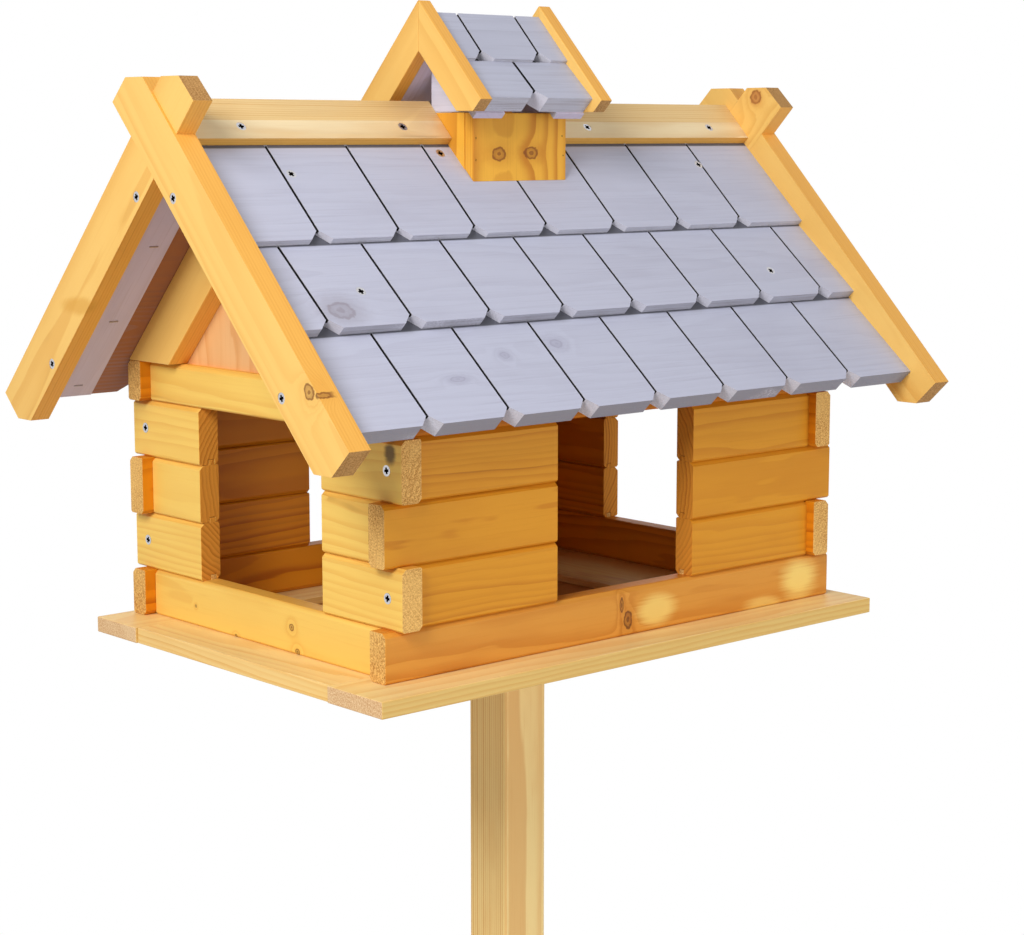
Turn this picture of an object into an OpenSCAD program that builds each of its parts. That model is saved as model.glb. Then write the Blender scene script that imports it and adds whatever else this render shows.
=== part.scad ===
// Log cabin bird feeder on a post: a slatted base, walls of tongued logs that lap at the corners,
// a shingled gable roof with crossing barge boards, and a chimney with a lift-off cap.
// The ridge runs along X. The long wall on the -Y side is the front. Z = 0 is the ground.
// On a roof slope, a point is given by s, its distance down the slope from the line where the
// upper edges of the barge boards cross, and by k, its height square to that edge (0 or less).

/* [House] */
// Length of the house over the faces of its end walls
house_len = 455; // [400:1:520]
// Depth of the house over the faces of its long walls
house_depth = 326.6; // [290:1:380]
// Thickness of every log
log_t = 18; // [14:0.5:24]
// How far the long logs run on past the end walls
long_log_end = 9.5; // [6:0.5:16]
// How far the short logs run on past the long walls
short_log_end = 7.7; // [5:0.1:14]
// Height of the bottom logs, which are the sills of the openings
rail_h = 37; // [25:0.5:50]
// Height of each wall log beside the openings
log_h = 45.5; // [38:0.5:55]
// Height of the top logs and of the beams under the gables
top_log_h = 32; // [26:0.5:45]
// Width of the openings in the long walls
long_open_w = 145; // [90:1:200]
// Width of the openings in the end walls
short_open_w = 156.8; // [90:1:180]
// Chamfer along the outer upper edge of a log
log_top_chamfer = 3.5; // [0.5:0.5:5]
// Chamfer along the outer lower edge of a log
log_low_chamfer = 1.5; // [0.5:0.5:3]
// Width of the tongue on a log
tongue_w = 5; // [3:0.5:6]
// Height of the tongue on a log
tongue_h = 4; // [2:0.5:6]
// Clearance of a tongue in its groove
tongue_gap = 0.2; // [0.1:0.05:0.4]
// Joint line between boards that are glued or nailed together
glue_line = 0.1; // [0.05:0.05:0.2]

/* [Base] */
// Height of the top of the base above the ground
base_h = 700; // [500:5:1000]
// Thickness of the base boards
base_t = 12.5; // [10:0.5:18]
// How far the base stands out past the front wall
base_front = 34.1; // [15:0.1:60]
// How far the base stands out past the back wall
base_back = 6.3; // [2:0.1:60]
// How far the base stands out past the left wall
base_left = 39.9; // [20:0.1:60]
// How far the base stands out past the right wall
base_right = 25.2; // [20:0.1:60]
// Width of the front base board
front_board_w = 62; // [56:1:80]
// Width of the back base board
back_board_w = 57; // [40:1:80]
// Width of the boards across the ends of the base
end_board_w = 124.5; // [80:0.5:150]
// How far the end boards stand back from the ends of the front and back boards
end_board_set = 1.5; // [0:0.5:5]
// Length of the stub tenons on the end boards
tenon_len = 12; // [6:1:20]
// Thickness of those tenons
tenon_t = 4.5; // [3:0.5:6]
// Thickness of the floor panel
floor_t = 6; // [4:0.5:8]
// How far the floor panel lies in the rebates of the boards
floor_lap = 8; // [4:0.5:12]
// Clearance round tenons and round the floor panel
joint_gap = 0.2; // [0.1:0.05:0.5]

/* [Roof] */
// Pitch of the roof
pitch = 46; // [40:0.5:50]
// Flat on the outer top edge of the long walls, where the roof boards bear
seat_bevel = 1.7; // [0.5:0.1:6]
// How far the roof boards run on past the end walls
verge = 68.7; // [40:0.1:100]
// Depth of the underside of the roof boards below the barge boards' upper edges
under = 27.5; // [24:0.5:30]
// Distance down the slope to the lower edge of the upper course
course_1_end = 128; // [118:0.5:135]
// Width of the middle course that shows
course_2_show = 83; // [60:0.5:100]
// Width of the lower course that shows
course_3_show = 89.5; // [60:0.5:95]
// Thickness of the upper course at the ridge
ridge_thick = 7.1; // [6:0.1:9]
// Thickness of the upper course at its lower edge
course_1_thick = 10.8; // [9:0.1:12]
// Thickness of the middle course at its lower edge
course_2_thick = 13.4; // [12:0.1:15]
// Thickness of the lower course at its lower edge
course_3_thick = 14.2; // [12:0.1:16]
// Thickness of a course where the one above laps it
lap_thick = 5.4; // [4:0.1:7]
// How far a course runs up under the one above
lap = 12; // [6:0.5:20]
// Width of one shingle between two saw kerfs
shingle_w = 74; // [50:1:100]
// Width of a saw kerf
kerf_w = 2.6; // [1:0.1:4]
// Depth of a saw kerf
kerf_depth = 3.4; // [1:0.1:4]
// Depth of the notch at the foot of a kerf
notch = 9.5; // [4:0.5:14]

/* [Ridge, barge boards and gables] */
// Width of the ridge boards
ridge_board_w = 40; // [30:0.5:50]
// Thickness of the ridge boards
ridge_board_t = 7; // [5:0.5:10]
// Distance down the slope to the lower edge of the front ridge board
ridge_board_end = 32.4; // [26:0.1:38]
// Width of the barge boards
barge_w = 41; // [36:0.5:50]
// Thickness of the barge boards
barge_t = 18; // [12:0.5:24]
// How far the back barge board lies behind the front one's face
barge_step = 2; // [0.5:0.5:4]
// Height of the level cut on the crossing ends above the crossing
horn_h = 10.8; // [6:0.1:16]
// Length of the crossing ends beyond the crossing
horn_len = 30.5; // [24:0.5:36]
// Length of a barge board down the slope from the crossing
barge_len = 324; // [310:1:345]
// Depth of the square cut at the foot of a barge board
foot_cut = 27; // [15:0.5:34]
// Width of the battens behind the barge boards
batten_w = 30; // [20:0.5:40]
// Thickness of those battens
batten_t = 11.5; // [8:0.5:14]
// Distance down the slope to the foot of those battens
batten_end = 293; // [270:0.5:299]
// Width of the rafters
rafter_w = 41; // [30:0.5:50]
// Thickness of the rafters
rafter_t = 18; // [12:0.5:24]
// Thickness of the gable panels
gable_t = 6; // [4:0.5:8]

/* [Chimney and cap] */
// Width of the chimney along the ridge
chimney_w = 98.9; // [80:0.1:120]
// Depth of the chimney
chimney_d = 75.6; // [60:0.1:90]
// Thickness of the chimney boards
chimney_t = 10; // [6:0.5:14]
// Height of the chimney's top above the ridge of the roof boards' undersides
chimney_rise = 26.7; // [22:0.1:60]
// Shift of the chimney along the ridge
chimney_x = 2.75; // [-20:0.25:20]
// Width of the cap over its barge boards
cap_len = 138; // [130:1:160]
// Shift of the cap along the ridge against the chimney
cap_dx = -6.75; // [-7:0.25:7]
// Shift of the cap across the ridge
cap_dy = -4; // [-8:0.5:8]
// Height of the cap's peak above the top of the chimney
cap_rise = 85.9; // [80:0.1:100]
// Thickness of the cap's barge boards
cap_barge_t = 12; // [8:0.5:16]
// Width of the cap's barge boards
cap_barge_w = 27; // [24:0.5:34]
// Length of the cap's barge boards down the slope
cap_leg = 106; // [100:1:120]
// Depth of the square cut at the foot of the cap's barge boards
cap_foot_cut = 13; // [8:0.5:20]
// Depth of the underside of the cap's roof boards
cap_under = 21.1; // [18:0.1:23]
// Thickness of the cap's roof boards
cap_thick = 14.9; // [12:0.1:17]
// Distance down the slope to the step in the cap's roof
cap_step_at = 56; // [40:1:70]
// Height of that step
cap_step = 2.8; // [1.5:0.1:4]
// Distance down the slope to the cap's eaves
cap_eave = 98; // [90:1:99]
// Distance between the kerfs in the cap's upper boards
cap_shingle_w = 60; // [40:1:70]
// Width of the battens under the cap
cap_batten_w = 30; // [26:0.5:38]
// Width of the blocks that the cap stands on
block_w = 33; // [20:0.5:50]
// Thickness of those blocks
block_t = 14; // [11:0.5:18]
// Clearance under those blocks
cap_gap = 0.3; // [0.1:0.1:1]

/* [Post and foot] */
// Side of the square post
post_w = 45; // [36:1:60]
// Place of the post along the ridge
post_x = 4.8; // [-20:0.1:20]
// Place of the post across the ridge
post_y = -19.9; // [-30:0.1:10]
// Rounding of the post's long edges
post_round = 3; // [1:0.5:6]
// Length of the two foot beams
foot_len = 400; // [320:5:405]
// Width of the foot beams
foot_w = 45; // [30:1:60]
// Height of the foot beams
foot_h = 45; // [30:1:60]
// Reach of the braces along the foot and up the post
brace_reach = 125; // [80:1:150]
// Width of the braces
brace_w = 34; // [20:1:45]
// Thickness of the braces
brace_t = 18; // [12:1:30]
// Length of the bearers under the base
bearer_len = 380; // [340:5:420]
// Width of the bearers
bearer_w = 41; // [30:1:60]
// Thickness of the bearers
bearer_t = 18; // [12:1:24]

/* [Screws] */
// Diameter of a screw head
head_d = 8; // [5:0.1:9]
// Height of a screw head
head_h = 2.4; // [1.5:0.1:3]
// Diameter of a screw's shank
shank_d = 3.5; // [2.5:0.1:4]
// Length of the screws in the walls and barge boards
long_screw = 28; // [24:1:34]
// Clearance of a screw in its hole
screw_gap = 0.05; // [0.02:0.01:0.2]

/* [Hidden] */
$fn = 32;
honey = [0.93, 0.74, 0.42];
pale = [0.92, 0.79, 0.54];
tan_wood = [0.87, 0.70, 0.46];
grey_paint = [0.69, 0.70, 0.79];
salmon = [0.93, 0.71, 0.51];
zinc = [0.75, 0.77, 0.80];
eps = 0.5;
far = 900;

half_len = house_len / 2;
half_depth = house_depth / 2;
half_open_x = long_open_w / 2;
half_open_y = short_open_w / 2;
rows = 3;
wall_top = base_h + rail_h + rows * log_h + top_log_h;

base_x0 = -half_len - base_left;
base_x1 = half_len + base_right;
base_y0 = -half_depth - base_front;
base_y1 = half_depth + base_back;
board_y0 = base_y0 + front_board_w;
board_y1 = base_y1 - back_board_w;
base_bottom = base_h - base_t;

// Height of the ridge of the roof boards' undersides, and of the barge boards' crossing
ridge_under_z = wall_top + (half_depth - seat_bevel) * tan(pitch);
peak_z = ridge_under_z + under / cos(pitch);
roof_half = half_len + verge;
course_2_end = course_1_end + course_2_show;
course_3_end = course_2_end + course_3_show;
seat_k = -under + ridge_thick;
back_ridge_top = seat_k * cos(2 * pitch) / sin(2 * pitch) - seat_k / sin(2 * pitch);
back_ridge_end = back_ridge_top + ridge_board_w;
ridge_margin = 1.6;

chimney_x0 = chimney_x - chimney_w / 2;
chimney_x1 = chimney_x + chimney_w / 2;
chimney_y = chimney_d / 2;
chimney_top = ridge_under_z + chimney_rise;
end_gap = 0.3;
cap_x = chimney_x + cap_dx;
cap_inner = cap_len / 2 - cap_barge_t;
cap_peak = chimney_top + cap_rise;
cap_lap = 8;
cap_lap_thick = 6;
cap_batten_over = 2;

tail_chamfer = 6;
inner_round = 3;
inner_edge = 1;
roof_screw = ridge_thick + ridge_board_t - 0.6;
barge_screw_s = [71, 252];
barge_screw_depth = batten_t / 2;
course_1_screws = [[-214, 62], [-60, 42], [219, 58]];
course_2_screws = [[-214, 177], [216, 181]];
ridge_screw_x = [-240, -89, 108, 255];
ridge_screw_in = 14;
head_sink = 0.25;
beam_chamfer = 14;

// A prism along X from x0 to x1, of an outline in Y and Z
module prism(x0, x1, outline) {
    translate([x0, 0, 0]) rotate([90, 0, 90]) linear_extrude(x1 - x0) polygon(outline);
}

// The place in Y and Z of a point of the front slope whose peak is at the given height
function on_front(s, k, top) = [-s * cos(pitch) - k * sin(pitch), top - s * sin(pitch) + k * cos(pitch)];

// Distance down the slope at which a surface of depth k meets the ridge plane
function mitre(k) = -k * tan(pitch);

// Distance down the slope at depth k2 that is level with the point s1, k1
function level_s(s1, k1, k2) = s1 + (k2 - k1) / tan(pitch);

// A board of the front slope, from its outline in s and k
module slope_board(x0, x1, outline, top = peak_z) {
    prism(x0, x1, [for (q = outline) on_front(q[0], q[1], top)]);
}

// Children on the front slope, with X along the ridge, Y up the slope and Z square to it
module front_slope(top = peak_z) {
    translate([0, 0, top]) rotate([pitch, 0, 0]) children();
}

module at_back() {
    mirror([0, 1, 0]) children();
}

module at_right() {
    mirror([1, 0, 0]) children();
}

// A countersunk screw, its head at the origin and its point down -Z.
// With a gap it is the hole for that screw, open above the head.
module screw(length, gap = 0) {
    r = head_d / 2 + gap;
    above = gap > 0 ? head_d / 2 : 0;
    rotate_extrude() polygon([
        [0, above], [r, above], [r, 0], [shank_d / 2 + gap, -head_h],
        [shank_d / 2 + gap, -length + shank_d], [0, -length - gap]]);
}

// One log of a wall that faces -Y, from l0 to l1, with its foot at z0.
// Tongues on its top and grooves in its foot run only where another log of its wall lies on it.
module wall_log(l0, l1, z0, h, tongues = [], grooves = []) {
    t0 = log_t / 2;
    difference() {
        union() {
            prism(l0, l1, [
                [log_low_chamfer, z0], [0, z0 + log_low_chamfer], [0, z0 + h - log_top_chamfer],
                [log_top_chamfer, z0 + h], [log_t - inner_edge, z0 + h], [log_t, z0 + h - inner_edge],
                [log_t, z0 + inner_round], [log_t - inner_round, z0]]);
            for (r = tongues)
                translate([r[0], t0, z0 + h - eps]) cube([r[1] - r[0], tongue_w, tongue_h + eps]);
        }
        for (r = grooves)
            translate([r[0] - tongue_gap, t0 - tongue_gap, z0 - eps])
                cube([r[1] - r[0] + 2 * tongue_gap, tongue_w + 2 * tongue_gap, tongue_h + tongue_gap + eps]);
    }
}

module on_front_wall() {
    translate([0, -half_depth, 0]) children();
}

// Local X becomes -Y, so a log at positive l lies towards the front
module on_left_wall() {
    translate([-half_len, 0, 0]) rotate([0, 0, -90]) children();
}

function row_z(row) = base_h + rail_h + (row - 1) * log_h;

// Half a wall between its corner and its opening: three logs that take turns to run on past it.
// reach is the inner corner, jamb is the side of the opening and over is the length of a long end.
module log_stub(jamb, reach, over, first_long) {
    for (row = [1 : rows]) {
        long_end = (row % 2 == 1) == first_long;
        wall_log(jamb, long_end ? reach + log_t + over : reach, row_z(row), log_h - glue_line,
            [[jamb, reach]], [[jamb, reach]]);
    }
}

x_reach = half_len - log_t;
y_reach = half_depth - log_t;
x_stubs = [[-x_reach, -half_open_x], [half_open_x, x_reach]];
y_stubs = [[-y_reach, -half_open_y], [half_open_y, y_reach]];

// Screws that hold the end walls' long logs to the ends of the side logs
module wall_screws(gap = 0) {
    for (sx = [-1, 1], sy = [-1, 1], row = [1, 3])
        translate([sx * half_len, sy * (half_depth - log_t / 2), row_z(row) + log_h / 2])
            rotate([0, sx * 90, 0]) screw(long_screw, gap);
}

module rail_x() {
    color(honey) on_front_wall()
        wall_log(-half_len - long_log_end, half_len + long_log_end, base_h, rail_h, x_stubs);
}

module rail_y() {
    color(honey) on_left_wall() wall_log(-y_reach, y_reach, base_h, rail_h, y_stubs);
}

// Right half of the front wall: its middle log is the one that runs on
module long_stub() {
    color(honey) difference() {
        on_front_wall() log_stub(half_open_x, x_reach, long_log_end, false);
        wall_screws(screw_gap);
    }
}

// Front half of the left wall: its first and third logs run on
module short_stub() {
    color(honey) difference() {
        on_left_wall() log_stub(half_open_y, y_reach, short_log_end, true);
        wall_screws(screw_gap);
    }
}

// Half of the roof's underside, as a solid that a wall is planed to
module above_roof_underside() {
    slope_board(-far, far, [[mitre(-under), -under], [far, -under], [far, far], [-far, far]]);
}

module top_log() {
    color(honey) difference() {
        on_front_wall() wall_log(-half_len - long_log_end, half_len + long_log_end,
            wall_top - top_log_h, top_log_h, [], x_stubs);
        above_roof_underside();
    }
}

module gable_beam() {
    color(honey) on_left_wall() wall_log(-y_reach, y_reach, wall_top - top_log_h, top_log_h, [], y_stubs);
}

// The base: a front and a back board, two boards across the ends on stub tenons, and a thin panel
module floor_space(gap) {
    x0 = base_x0 + end_board_set + end_board_w;
    x1 = base_x1 - end_board_set - end_board_w;
    translate([x0 - floor_lap - gap, board_y0 - floor_lap - gap, base_bottom - (gap > 0 ? eps : 0)])
        cube([x1 - x0 + 2 * (floor_lap + gap), board_y1 - board_y0 + 2 * (floor_lap + gap),
            floor_t + gap + (gap > 0 ? eps : 0)]);
}

module end_tenons(gap) {
    margin = 15;
    for (x = [base_x0 + end_board_set, base_x1 - end_board_set - end_board_w])
        translate([x + margin - gap, board_y0 - tenon_len - gap, base_h - base_t / 2 - tenon_t / 2 - gap])
            cube([end_board_w - 2 * margin + 2 * gap, board_y1 - board_y0 + 2 * (tenon_len + gap),
                tenon_t + 2 * gap]);
}

module base_long_board(y0, w) {
    color(pale) difference() {
        translate([base_x0, y0, base_bottom]) cube([base_x1 - base_x0, w, base_t]);
        end_tenons(joint_gap);
        floor_space(joint_gap);
    }
}

module base_end_board(x0) {
    color(pale) difference() {
        union() {
            translate([x0, board_y0, base_bottom]) cube([end_board_w, board_y1 - board_y0, base_t]);
            intersection() {
                end_tenons(0);
                translate([x0, -far, base_bottom]) cube([end_board_w, 2 * far, base_t]);
            }
        }
        floor_space(joint_gap);
    }
}

module floor_panel() {
    color(tan_wood) floor_space(0);
}

// Gables
module rafter(back, right) {
    foot_top = level_s_at(wall_top, -under);
    foot_low = level_s_at(wall_top, -under - rafter_w);
    x0 = -half_len - long_log_end;
    color(honey) difference() {
        mirror([right ? 1 : 0, 0, 0]) mirror([0, back ? 1 : 0, 0]) slope_board(x0, x0 + rafter_t, [
            [mitre(-under), -under], [foot_top, -under],
            [foot_low, -under - rafter_w], [mitre(-under - rafter_w), -under - rafter_w]]);
        roof_screws(screw_gap);
    }
}

// Distance down the slope at which a surface of depth k comes down to height z
function level_s_at(z, k) = (peak_z - z + k * cos(pitch)) / sin(pitch);

module gable_panel(right) {
    x0 = -half_len - long_log_end + rafter_t;
    y = half_depth - seat_bevel;
    color(salmon) difference() {
        mirror([right ? 1 : 0, 0, 0])
            prism(x0, x0 + gable_t, [[-y, wall_top], [y, wall_top], [0, ridge_under_z]]);
        roof_screws(screw_gap);
    }
}

// Screws through the roof boards. On the back slope those of the upper course clear the ridge board.
module roof_screws(gap = 0) {
    for (back = [false, true]) mirror([0, back ? 1 : 0, 0]) front_slope() {
        k1 = course_top_k(seat_k, seat_end(back), -under + course_1_thick, course_1_end);
        lower = back ? back_ridge_end - ridge_board_end : 0;
        for (q = course_1_screws) {
            s = q[1] + lower;
            translate([q[0], -s, k1[0] + k1[1] * s - head_sink]) screw(roof_screw, gap);
        }
        k2 = course_top_k(-under + lap_thick, course_1_end, -under + course_2_thick, course_2_end);
        for (q = course_2_screws)
            translate([q[0], -q[1], k2[0] + k2[1] * q[1] - head_sink]) screw(roof_screw, gap);
    }
}

// The line of a course's top as [k at s = 0, fall of k with s]
function course_top_k(k0, s0, k1, s1) = [k0 - (k1 - k0) / (s1 - s0) * s0, (k1 - k0) / (s1 - s0)];

// Roof boards: each laps the next in a rebate, and kerfs and notches make it look like shingles
module kerfs(places, s0, k0, s1, k1) {
    side = notch * sqrt(2);
    for (x = places) {
        slope_board(x - kerf_w / 2, x + kerf_w / 2, [
            [s0, k0 + eps], [s1 + eps, k1 + eps], [s1 + eps, k1 - kerf_depth], [s0, k0 - kerf_depth]]);
        front_slope() translate([x, -s1, -under]) rotate([0, 0, 45])
            cube([side, side, 2 * under], center = true);
    }
}

function kerf_places(half, w, shift) =
    [for (i = [-floor(half / w) - 1 : floor(half / w) + 1])
        if (abs((i + shift) * w) < half - notch - kerf_w) (i + shift) * w];

whole_kerfs = kerf_places(roof_half, shingle_w, 0);
half_kerfs = kerf_places(roof_half, shingle_w, 0.5);

module flue() {
    translate([chimney_x0 + chimney_t, -chimney_y + chimney_t, wall_top])
        cube([chimney_w - 2 * chimney_t, chimney_d - 2 * chimney_t, far]);
}

// The upper course lies flat under its ridge board and then swells to its lower edge
module upper_course(back) {
    k1 = -under + course_1_thick;
    flat_end = seat_end(back);
    color(grey_paint) difference() {
        mirror([0, back ? 1 : 0, 0]) difference() {
            slope_board(-roof_half, roof_half, [
                [mitre(-under), -under], [course_1_end - lap, -under],
                [course_1_end - lap, -under + lap_thick + glue_line],
                [course_1_end, -under + lap_thick + glue_line],
                [course_1_end, k1], [flat_end, seat_k], [mitre(seat_k), seat_k]]);
            kerfs(whole_kerfs, flat_end - ridge_margin, seat_k, course_1_end, k1);
        }
        roof_screws(screw_gap);
        ridge_screws(screw_gap);
        flue();
    }
}

module middle_course(back) {
    color(grey_paint) difference() {
        mirror([0, back ? 1 : 0, 0]) difference() {
            slope_board(-roof_half, roof_half, [
                [course_1_end - lap, -under], [course_2_end - lap, -under],
                [course_2_end - lap, -under + lap_thick + glue_line],
                [course_2_end, -under + lap_thick + glue_line],
                [course_2_end, -under + course_2_thick], [course_1_end, -under + lap_thick],
                [course_1_end - lap, -under + lap_thick]]);
            kerfs(half_kerfs, course_1_end, -under + lap_thick, course_2_end, -under + course_2_thick);
        }
        roof_screws(screw_gap);
    }
}

module lower_course() {
    color(grey_paint) difference() {
        slope_board(-roof_half, roof_half, [
            [course_2_end - lap, -under], [course_3_end, -under], [course_3_end, -under + course_3_thick],
            [course_2_end, -under + lap_thick], [course_2_end - lap, -under + lap_thick]]);
        kerfs(whole_kerfs, course_2_end, -under + lap_thick, course_3_end, -under + course_3_thick);
    }
}

module batten(back) {
    k0 = -under - batten_t;
    color(grey_paint) difference() {
        mirror([0, back ? 1 : 0, 0]) slope_board(-roof_half, -roof_half + batten_w, [
            [mitre(-under), -under], [batten_end, -under], [batten_end, k0 + tail_chamfer],
            [batten_end - tail_chamfer, k0], [mitre(k0), k0]]);
        barge_screws(screw_gap);
    }
}

// Where the seat of the front or the back ridge board ends on its course
function seat_end(back) = (back ? back_ridge_end : ridge_board_end) + ridge_margin;

// Ridge boards: the front one runs on over the ridge and the back one comes up under it
module ridge_pair(x0, x1) {
    k1 = seat_k + ridge_board_t;
    s_back = (k1 * cos(2 * pitch) - seat_k) / sin(2 * pitch);
    color(honey) difference() {
        union() {
            slope_board(x0, x1, [
                [ridge_board_end - ridge_board_w, seat_k], [ridge_board_end, seat_k],
                [ridge_board_end, k1], [ridge_board_end - ridge_board_w, k1]]);
            at_back() slope_board(x0, x1, [
                [back_ridge_top + glue_line, seat_k], [back_ridge_end, seat_k],
                [back_ridge_end, k1], [s_back + glue_line, k1]]);
        }
        ridge_screws(screw_gap);
    }
}

// The screws in both ridge boards
module ridge_screws(gap = 0) {
    for (x = ridge_screw_x, back = [false, true])
        mirror([0, back ? 1 : 0, 0]) front_slope()
            translate([x, ridge_screw_in - seat_end(back), seat_k + ridge_board_t - head_sink])
                screw(roof_screw, gap);
}

// Barge boards: they cross in a halved joint at the peak
module barge_outline() {
    polygon([for (q = [
        [-horn_h / sin(pitch), 0], [barge_len, 0], [barge_len, -foot_cut],
        [level_s(barge_len, -foot_cut, -barge_w), -barge_w], [-horn_len, -barge_w],
        [-horn_len, (horn_h - horn_len * sin(pitch)) / cos(pitch)]]) on_front(q[0], q[1], peak_z)]);
}

// The strip that the other slope's board takes up
module crossing_strip(x0, x1) {
    at_back() slope_board(x0, x1, [
        [-far, screw_gap], [far, screw_gap], [far, -barge_w - screw_gap], [-far, -barge_w - screw_gap]]);
}

module barge(back) {
    face = -roof_half - barge_t + (back ? barge_step : 0);
    middle = -roof_half - (barge_t - barge_step) / 2;
    color(honey) difference() {
        mirror([0, back ? 1 : 0, 0]) difference() {
            translate([face, 0, 0]) rotate([90, 0, 90]) linear_extrude(-roof_half - face) barge_outline();
            if (back) crossing_strip(-far, middle + glue_line);
            else crossing_strip(middle, far);
        }
        barge_screws(screw_gap);
    }
}

// Screws through the left barge boards into the battens
module barge_screws(gap = 0) {
    for (s = barge_screw_s, back = [false, true])
        mirror([0, back ? 1 : 0, 0]) front_slope()
            translate([-roof_half - barge_t + (back ? barge_step : 0) + head_sink, -s, -under - barge_screw_depth])
                rotate([0, -90, 0]) screw(long_screw, gap);
}

// Chimney: four boards, cut at the foot to sit over the roof
module under_roof_top() {
    for (side = [0, 1]) {
        flat_end = seat_end(side == 1);
        top = [for (q = [
            [mitre(seat_k), seat_k], [flat_end, seat_k], [course_1_end, -under + course_1_thick]])
            on_front(q[0], q[1], peak_z)];
        mirror([0, side, 0])
            prism(-far, far, concat(top, [[top[2][0], wall_top - eps], [top[0][0] + eps, wall_top - eps],
                [top[0][0] + eps, top[0][1] - eps]]));
    }
}

module chimney_board(x0, x1, y0, y1) {
    color(honey) difference() {
        translate([x0, y0, wall_top]) cube([x1 - x0, y1 - y0, chimney_top - wall_top]);
        under_roof_top();
    }
}

// Cap: a small gable roof on two blocks, loose on the chimney
module cap_slope() {
    ku = -cap_under;
    k1 = ku + cap_thick;
    kt = k1 - cap_step;
    rebate = cap_step_at - cap_lap - glue_line;
    color(grey_paint) {
        difference() {
            slope_board(-cap_inner, cap_inner, [
                [mitre(ku), ku], [rebate, ku], [rebate, ku + cap_lap_thick + glue_line],
                [cap_step_at, ku + cap_lap_thick + glue_line], [cap_step_at, k1], [mitre(k1), k1]], cap_peak);
            for (x = [-cap_shingle_w / 2, cap_shingle_w / 2]) cap_kerf(x, mitre(k1), cap_step_at, k1);
        }
        difference() {
            slope_board(-cap_inner, cap_inner, [
                [cap_step_at - cap_lap, ku], [cap_eave, ku], [cap_eave, k1], [cap_step_at, kt],
                [cap_step_at, ku + cap_lap_thick], [cap_step_at - cap_lap, ku + cap_lap_thick]], cap_peak);
            cap_kerf(0, cap_step_at - eps, cap_eave, k1);
        }
    }
}

module cap_kerf(x, s0, s1, k) {
    side = notch * sqrt(2);
    slope_board(x - kerf_w / 2, x + kerf_w / 2, [
        [s0, k + eps], [s1 + eps, k + eps], [s1 + eps, k - kerf_depth], [s0, k - kerf_depth]], cap_peak);
    front_slope(cap_peak) translate([x, -s1, 0]) rotate([0, 0, 45])
        cube([side, side, 2 * cap_under + eps], center = true);
}

module on_cap() {
    translate([cap_x, cap_dy, 0]) children();
}

module cap_barge_pair() {
    color(honey) for (side = [0, 1]) mirror([0, side, 0])
        slope_board(-cap_inner - cap_barge_t, -cap_inner, [
            [glue_line, 0], [cap_leg, 0], [cap_leg, -cap_foot_cut],
            [level_s(cap_leg, -cap_foot_cut, -cap_barge_w), -cap_barge_w],
            [mitre(-cap_barge_w) + glue_line, -cap_barge_w]], cap_peak);
}

module cap_batten() {
    slope_board(-cap_inner, -cap_inner + cap_batten_w, [
        [mitre(-cap_under) + glue_line, -cap_under], [cap_eave + cap_batten_over, -cap_under],
        [cap_eave + cap_batten_over, -cap_barge_w], [mitre(-cap_barge_w) + glue_line, -cap_barge_w]],
        cap_peak);
}

module cap_block() {
    inner_peak = cap_peak - cap_barge_w / cos(pitch);
    shoulder = inner_peak - block_w / 2 * tan(pitch);
    foot = chimney_top + cap_gap;
    prism(0, block_t, [
        [cap_dy - block_w / 2, foot], [cap_dy + block_w / 2, foot], [cap_dy + block_w / 2, shoulder],
        [cap_dy, inner_peak], [cap_dy - block_w / 2, shoulder]]);
}

// Post, crossed foot beams, braces, and the bearers that carry the base
module post() {
    flat = post_w - 2 * post_round;
    color(tan_wood) translate([post_x, post_y, foot_h]) linear_extrude(base_bottom - foot_h) {
        square([post_w, flat], center = true);
        square([flat, post_w], center = true);
        for (sx = [-1, 1], sy = [-1, 1])
            translate([sx * flat / 2, sy * flat / 2]) circle(post_round);
    }
}

module foot_beam(turn, lap_z) {
    color(tan_wood) translate([post_x, post_y, 0]) rotate([0, 0, turn]) difference() {
        translate([-foot_len / 2, -foot_w / 2, 0]) cube([foot_len, foot_w, foot_h]);
        translate([-foot_w / 2, -foot_w, lap_z]) cube([foot_w, 2 * foot_w, foot_h / 2]);
        for (side = [-1, 1]) translate([side * foot_len / 2, 0, foot_h]) rotate([0, 45, 0])
            cube([beam_chamfer, 2 * foot_w, beam_chamfer], center = true);
    }
}

module brace() {
    color(tan_wood) translate([0, brace_t / 2, 0]) rotate([90, 0, 0]) linear_extrude(brace_t) polygon([
        [post_w / 2, foot_h + brace_reach], [post_w / 2, foot_h + brace_reach - brace_w * sqrt(2)],
        [post_w / 2 + brace_reach - brace_w * sqrt(2), foot_h], [post_w / 2 + brace_reach, foot_h]]);
}

module bearer() {
    translate([(base_x0 + base_x1 - bearer_len) / 2, post_y + post_w / 2, base_bottom - bearer_t])
        cube([bearer_len, bearer_w, bearer_t]);
}

base_long_board(base_y0, front_board_w);  // base_front_board
base_long_board(board_y1, back_board_w);  // base_back_board
base_end_board(base_x0 + end_board_set);  // base_left_board
base_end_board(base_x1 - end_board_set - end_board_w);  // base_right_board
floor_panel();
rail_x();  // rail_front
at_back() rail_x();  // rail_back
rail_y();  // rail_left
at_right() rail_y();  // rail_right
long_stub();  // wall_front_right
at_right() long_stub();  // wall_front_left
at_back() long_stub();  // wall_back_right
at_right() at_back() long_stub();  // wall_back_left
short_stub();  // wall_left_front
at_back() short_stub();  // wall_left_back
at_right() short_stub();  // wall_right_front
at_right() at_back() short_stub();  // wall_right_back
top_log();  // top_log_front
at_back() top_log();  // top_log_back
gable_beam();  // gable_beam_left
at_right() gable_beam();  // gable_beam_right
rafter(false, false);  // rafter_left_front
rafter(true, false);  // rafter_left_back
rafter(false, true);  // rafter_right_front
rafter(true, true);  // rafter_right_back
gable_panel(false);  // gable_panel_left
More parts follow.
